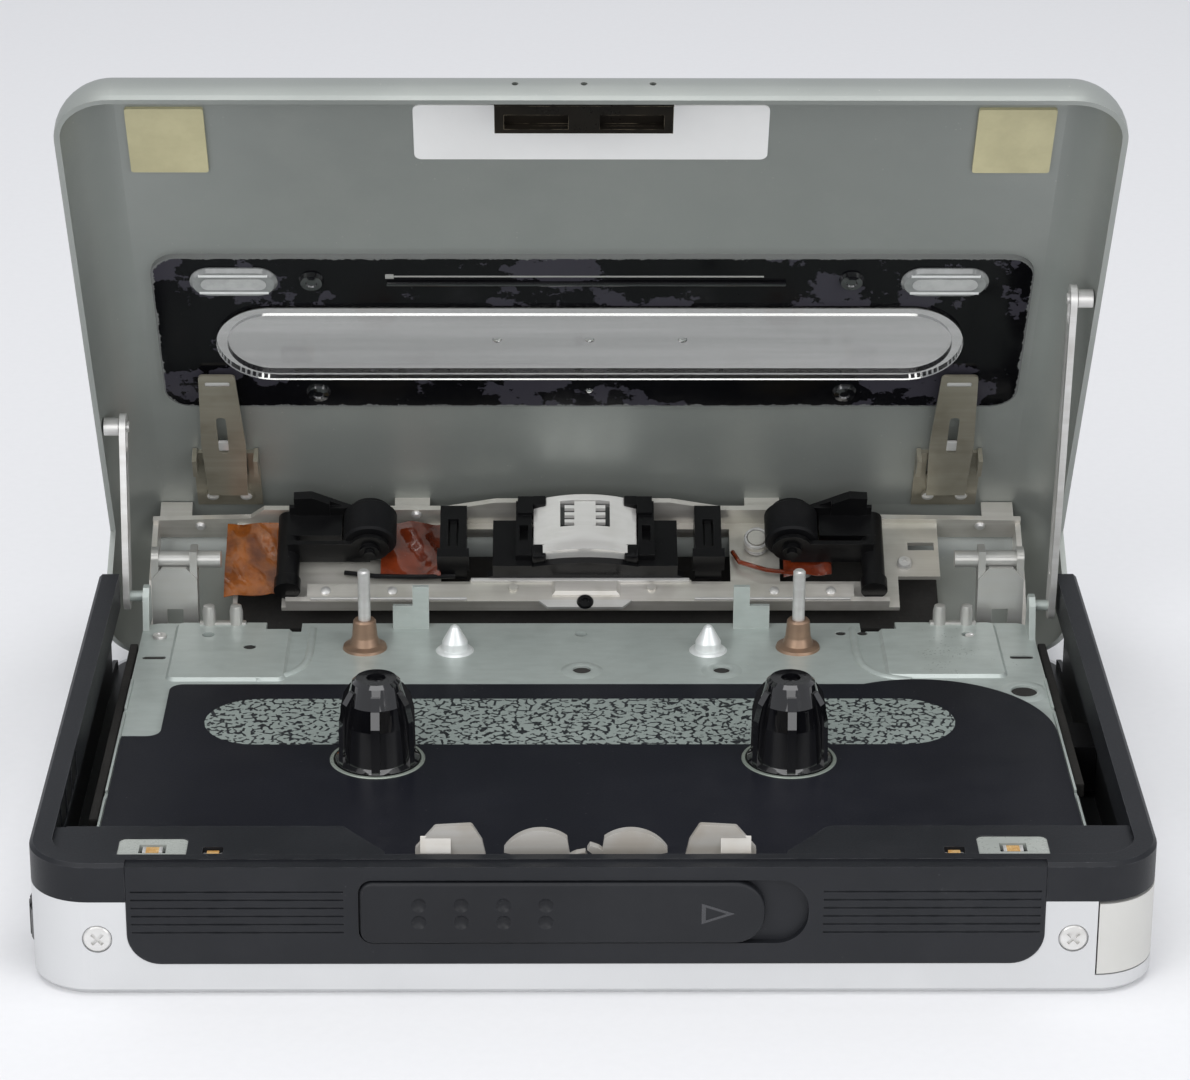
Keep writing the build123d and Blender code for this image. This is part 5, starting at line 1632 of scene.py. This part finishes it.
@dataclass
class Studio:
    """Floor, lamps and the camera at the photograph's viewpoint."""

    eye: Point = (-3.879, -386.795, 188.589)
    pitch: float = 0.387
    yaw: float = -0.011
    roll: float = 0.004
    focal_pixels: float = 4093.25
    sensor: float = 36.0
    floor_reach: float = 3.0
    floor_colour: Colour = (0.80, 0.80, 0.81)
    floor_weave: Colour = (0.77, 0.77, 0.78)
    sky: Colour = (0.93, 0.95, 1.0)
    sky_strength: float = 0.56
    lamps: tuple[Lamp, ...] = (
        Lamp("overhead", (0.0, -0.1, 0.75), (0.0, 0.0, 0.03), 0.6, 2.6),
        Lamp("front_left", (-0.5, -0.6, 0.5), (0.0, 0.0, 0.04), 0.5, 2.4),
        Lamp("front_right", (0.55, -0.5, 0.35), (0.0, 0.0, 0.04), 0.5, 1.5),
        Lamp("front_fill", (0.0, -0.9, 0.22), (0.0, 0.0, 0.05), 0.7, 2.4),
    )

    def floor(self) -> None:
        """Lay a plain pale floor."""
        mesh = bpy.data.meshes.new("floor")
        reach = self.floor_reach
        corners = [(-reach, -reach, 0), (reach, -reach, 0), (reach, reach, 0), (-reach, reach, 0)]
        mesh.from_pydata(corners, [], [(0, 1, 2, 3)])
        plane = bpy.data.objects.new("floor", mesh)
        bpy.context.scene.collection.objects.link(plane)
        material, sheet, shader = new_material("floor_cloth")
        weave = sheet.noise(900.0, 2.0)
        sheet.feed(shader.inputs["Base Color"], sheet.mix(weave, self.floor_colour, self.floor_weave))
        shader.inputs["Roughness"].default_value = 0.8
        mesh.materials.append(material)

    def light(self) -> None:
        """Set the world and hang the lamps."""
        world = bpy.data.worlds.new("soft_room")
        bpy.context.scene.world = world
        world.use_nodes = True
        background = world.node_tree.nodes["Background"]
        background.inputs["Color"].default_value = rgba(self.sky)
        background.inputs["Strength"].default_value = self.sky_strength
        for lamp in self.lamps:
            lamp.hang()

    def camera(self) -> None:
        """Place the camera at the viewpoint that was fitted to the photograph."""
        data = bpy.data.cameras.new("photo_view")
        data.sensor_fit = "HORIZONTAL"
        data.sensor_width = self.sensor
        data.lens = self.focal_pixels / PHOTO_WIDTH * self.sensor
        data.clip_start = 0.01
        camera = bpy.data.objects.new("photo_view", data)
        look = Matrix.Rotation(self.yaw, 4, "Z") @ Matrix.Rotation(math.pi / 2 - self.pitch, 4, "X")
        look = look @ Matrix.Rotation(self.roll, 4, "Z")
        camera.matrix_world = Matrix.Translation(Vector(self.eye) * MM) @ look
        bpy.context.scene.collection.objects.link(camera)
        bpy.context.scene.camera = camera
        bpy.context.scene.view_settings.view_transform = "Standard"

    def build(self) -> None:
        """Build the floor, the lamps and the camera."""
        self.floor()
        self.light()
        self.camera()


def main() -> None:
    """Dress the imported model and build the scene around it."""
    logging.basicConfig(level=logging.INFO)
    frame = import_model()
    bench = Bench(frame)
    bench.dress()
    for fittings in (DeckFittings, FrontFittings, WindowFittings, MechanismFittings, GapFittings):
        fittings(bench).build()
    Studio().build()


if __name__ == "__main__":
    main()
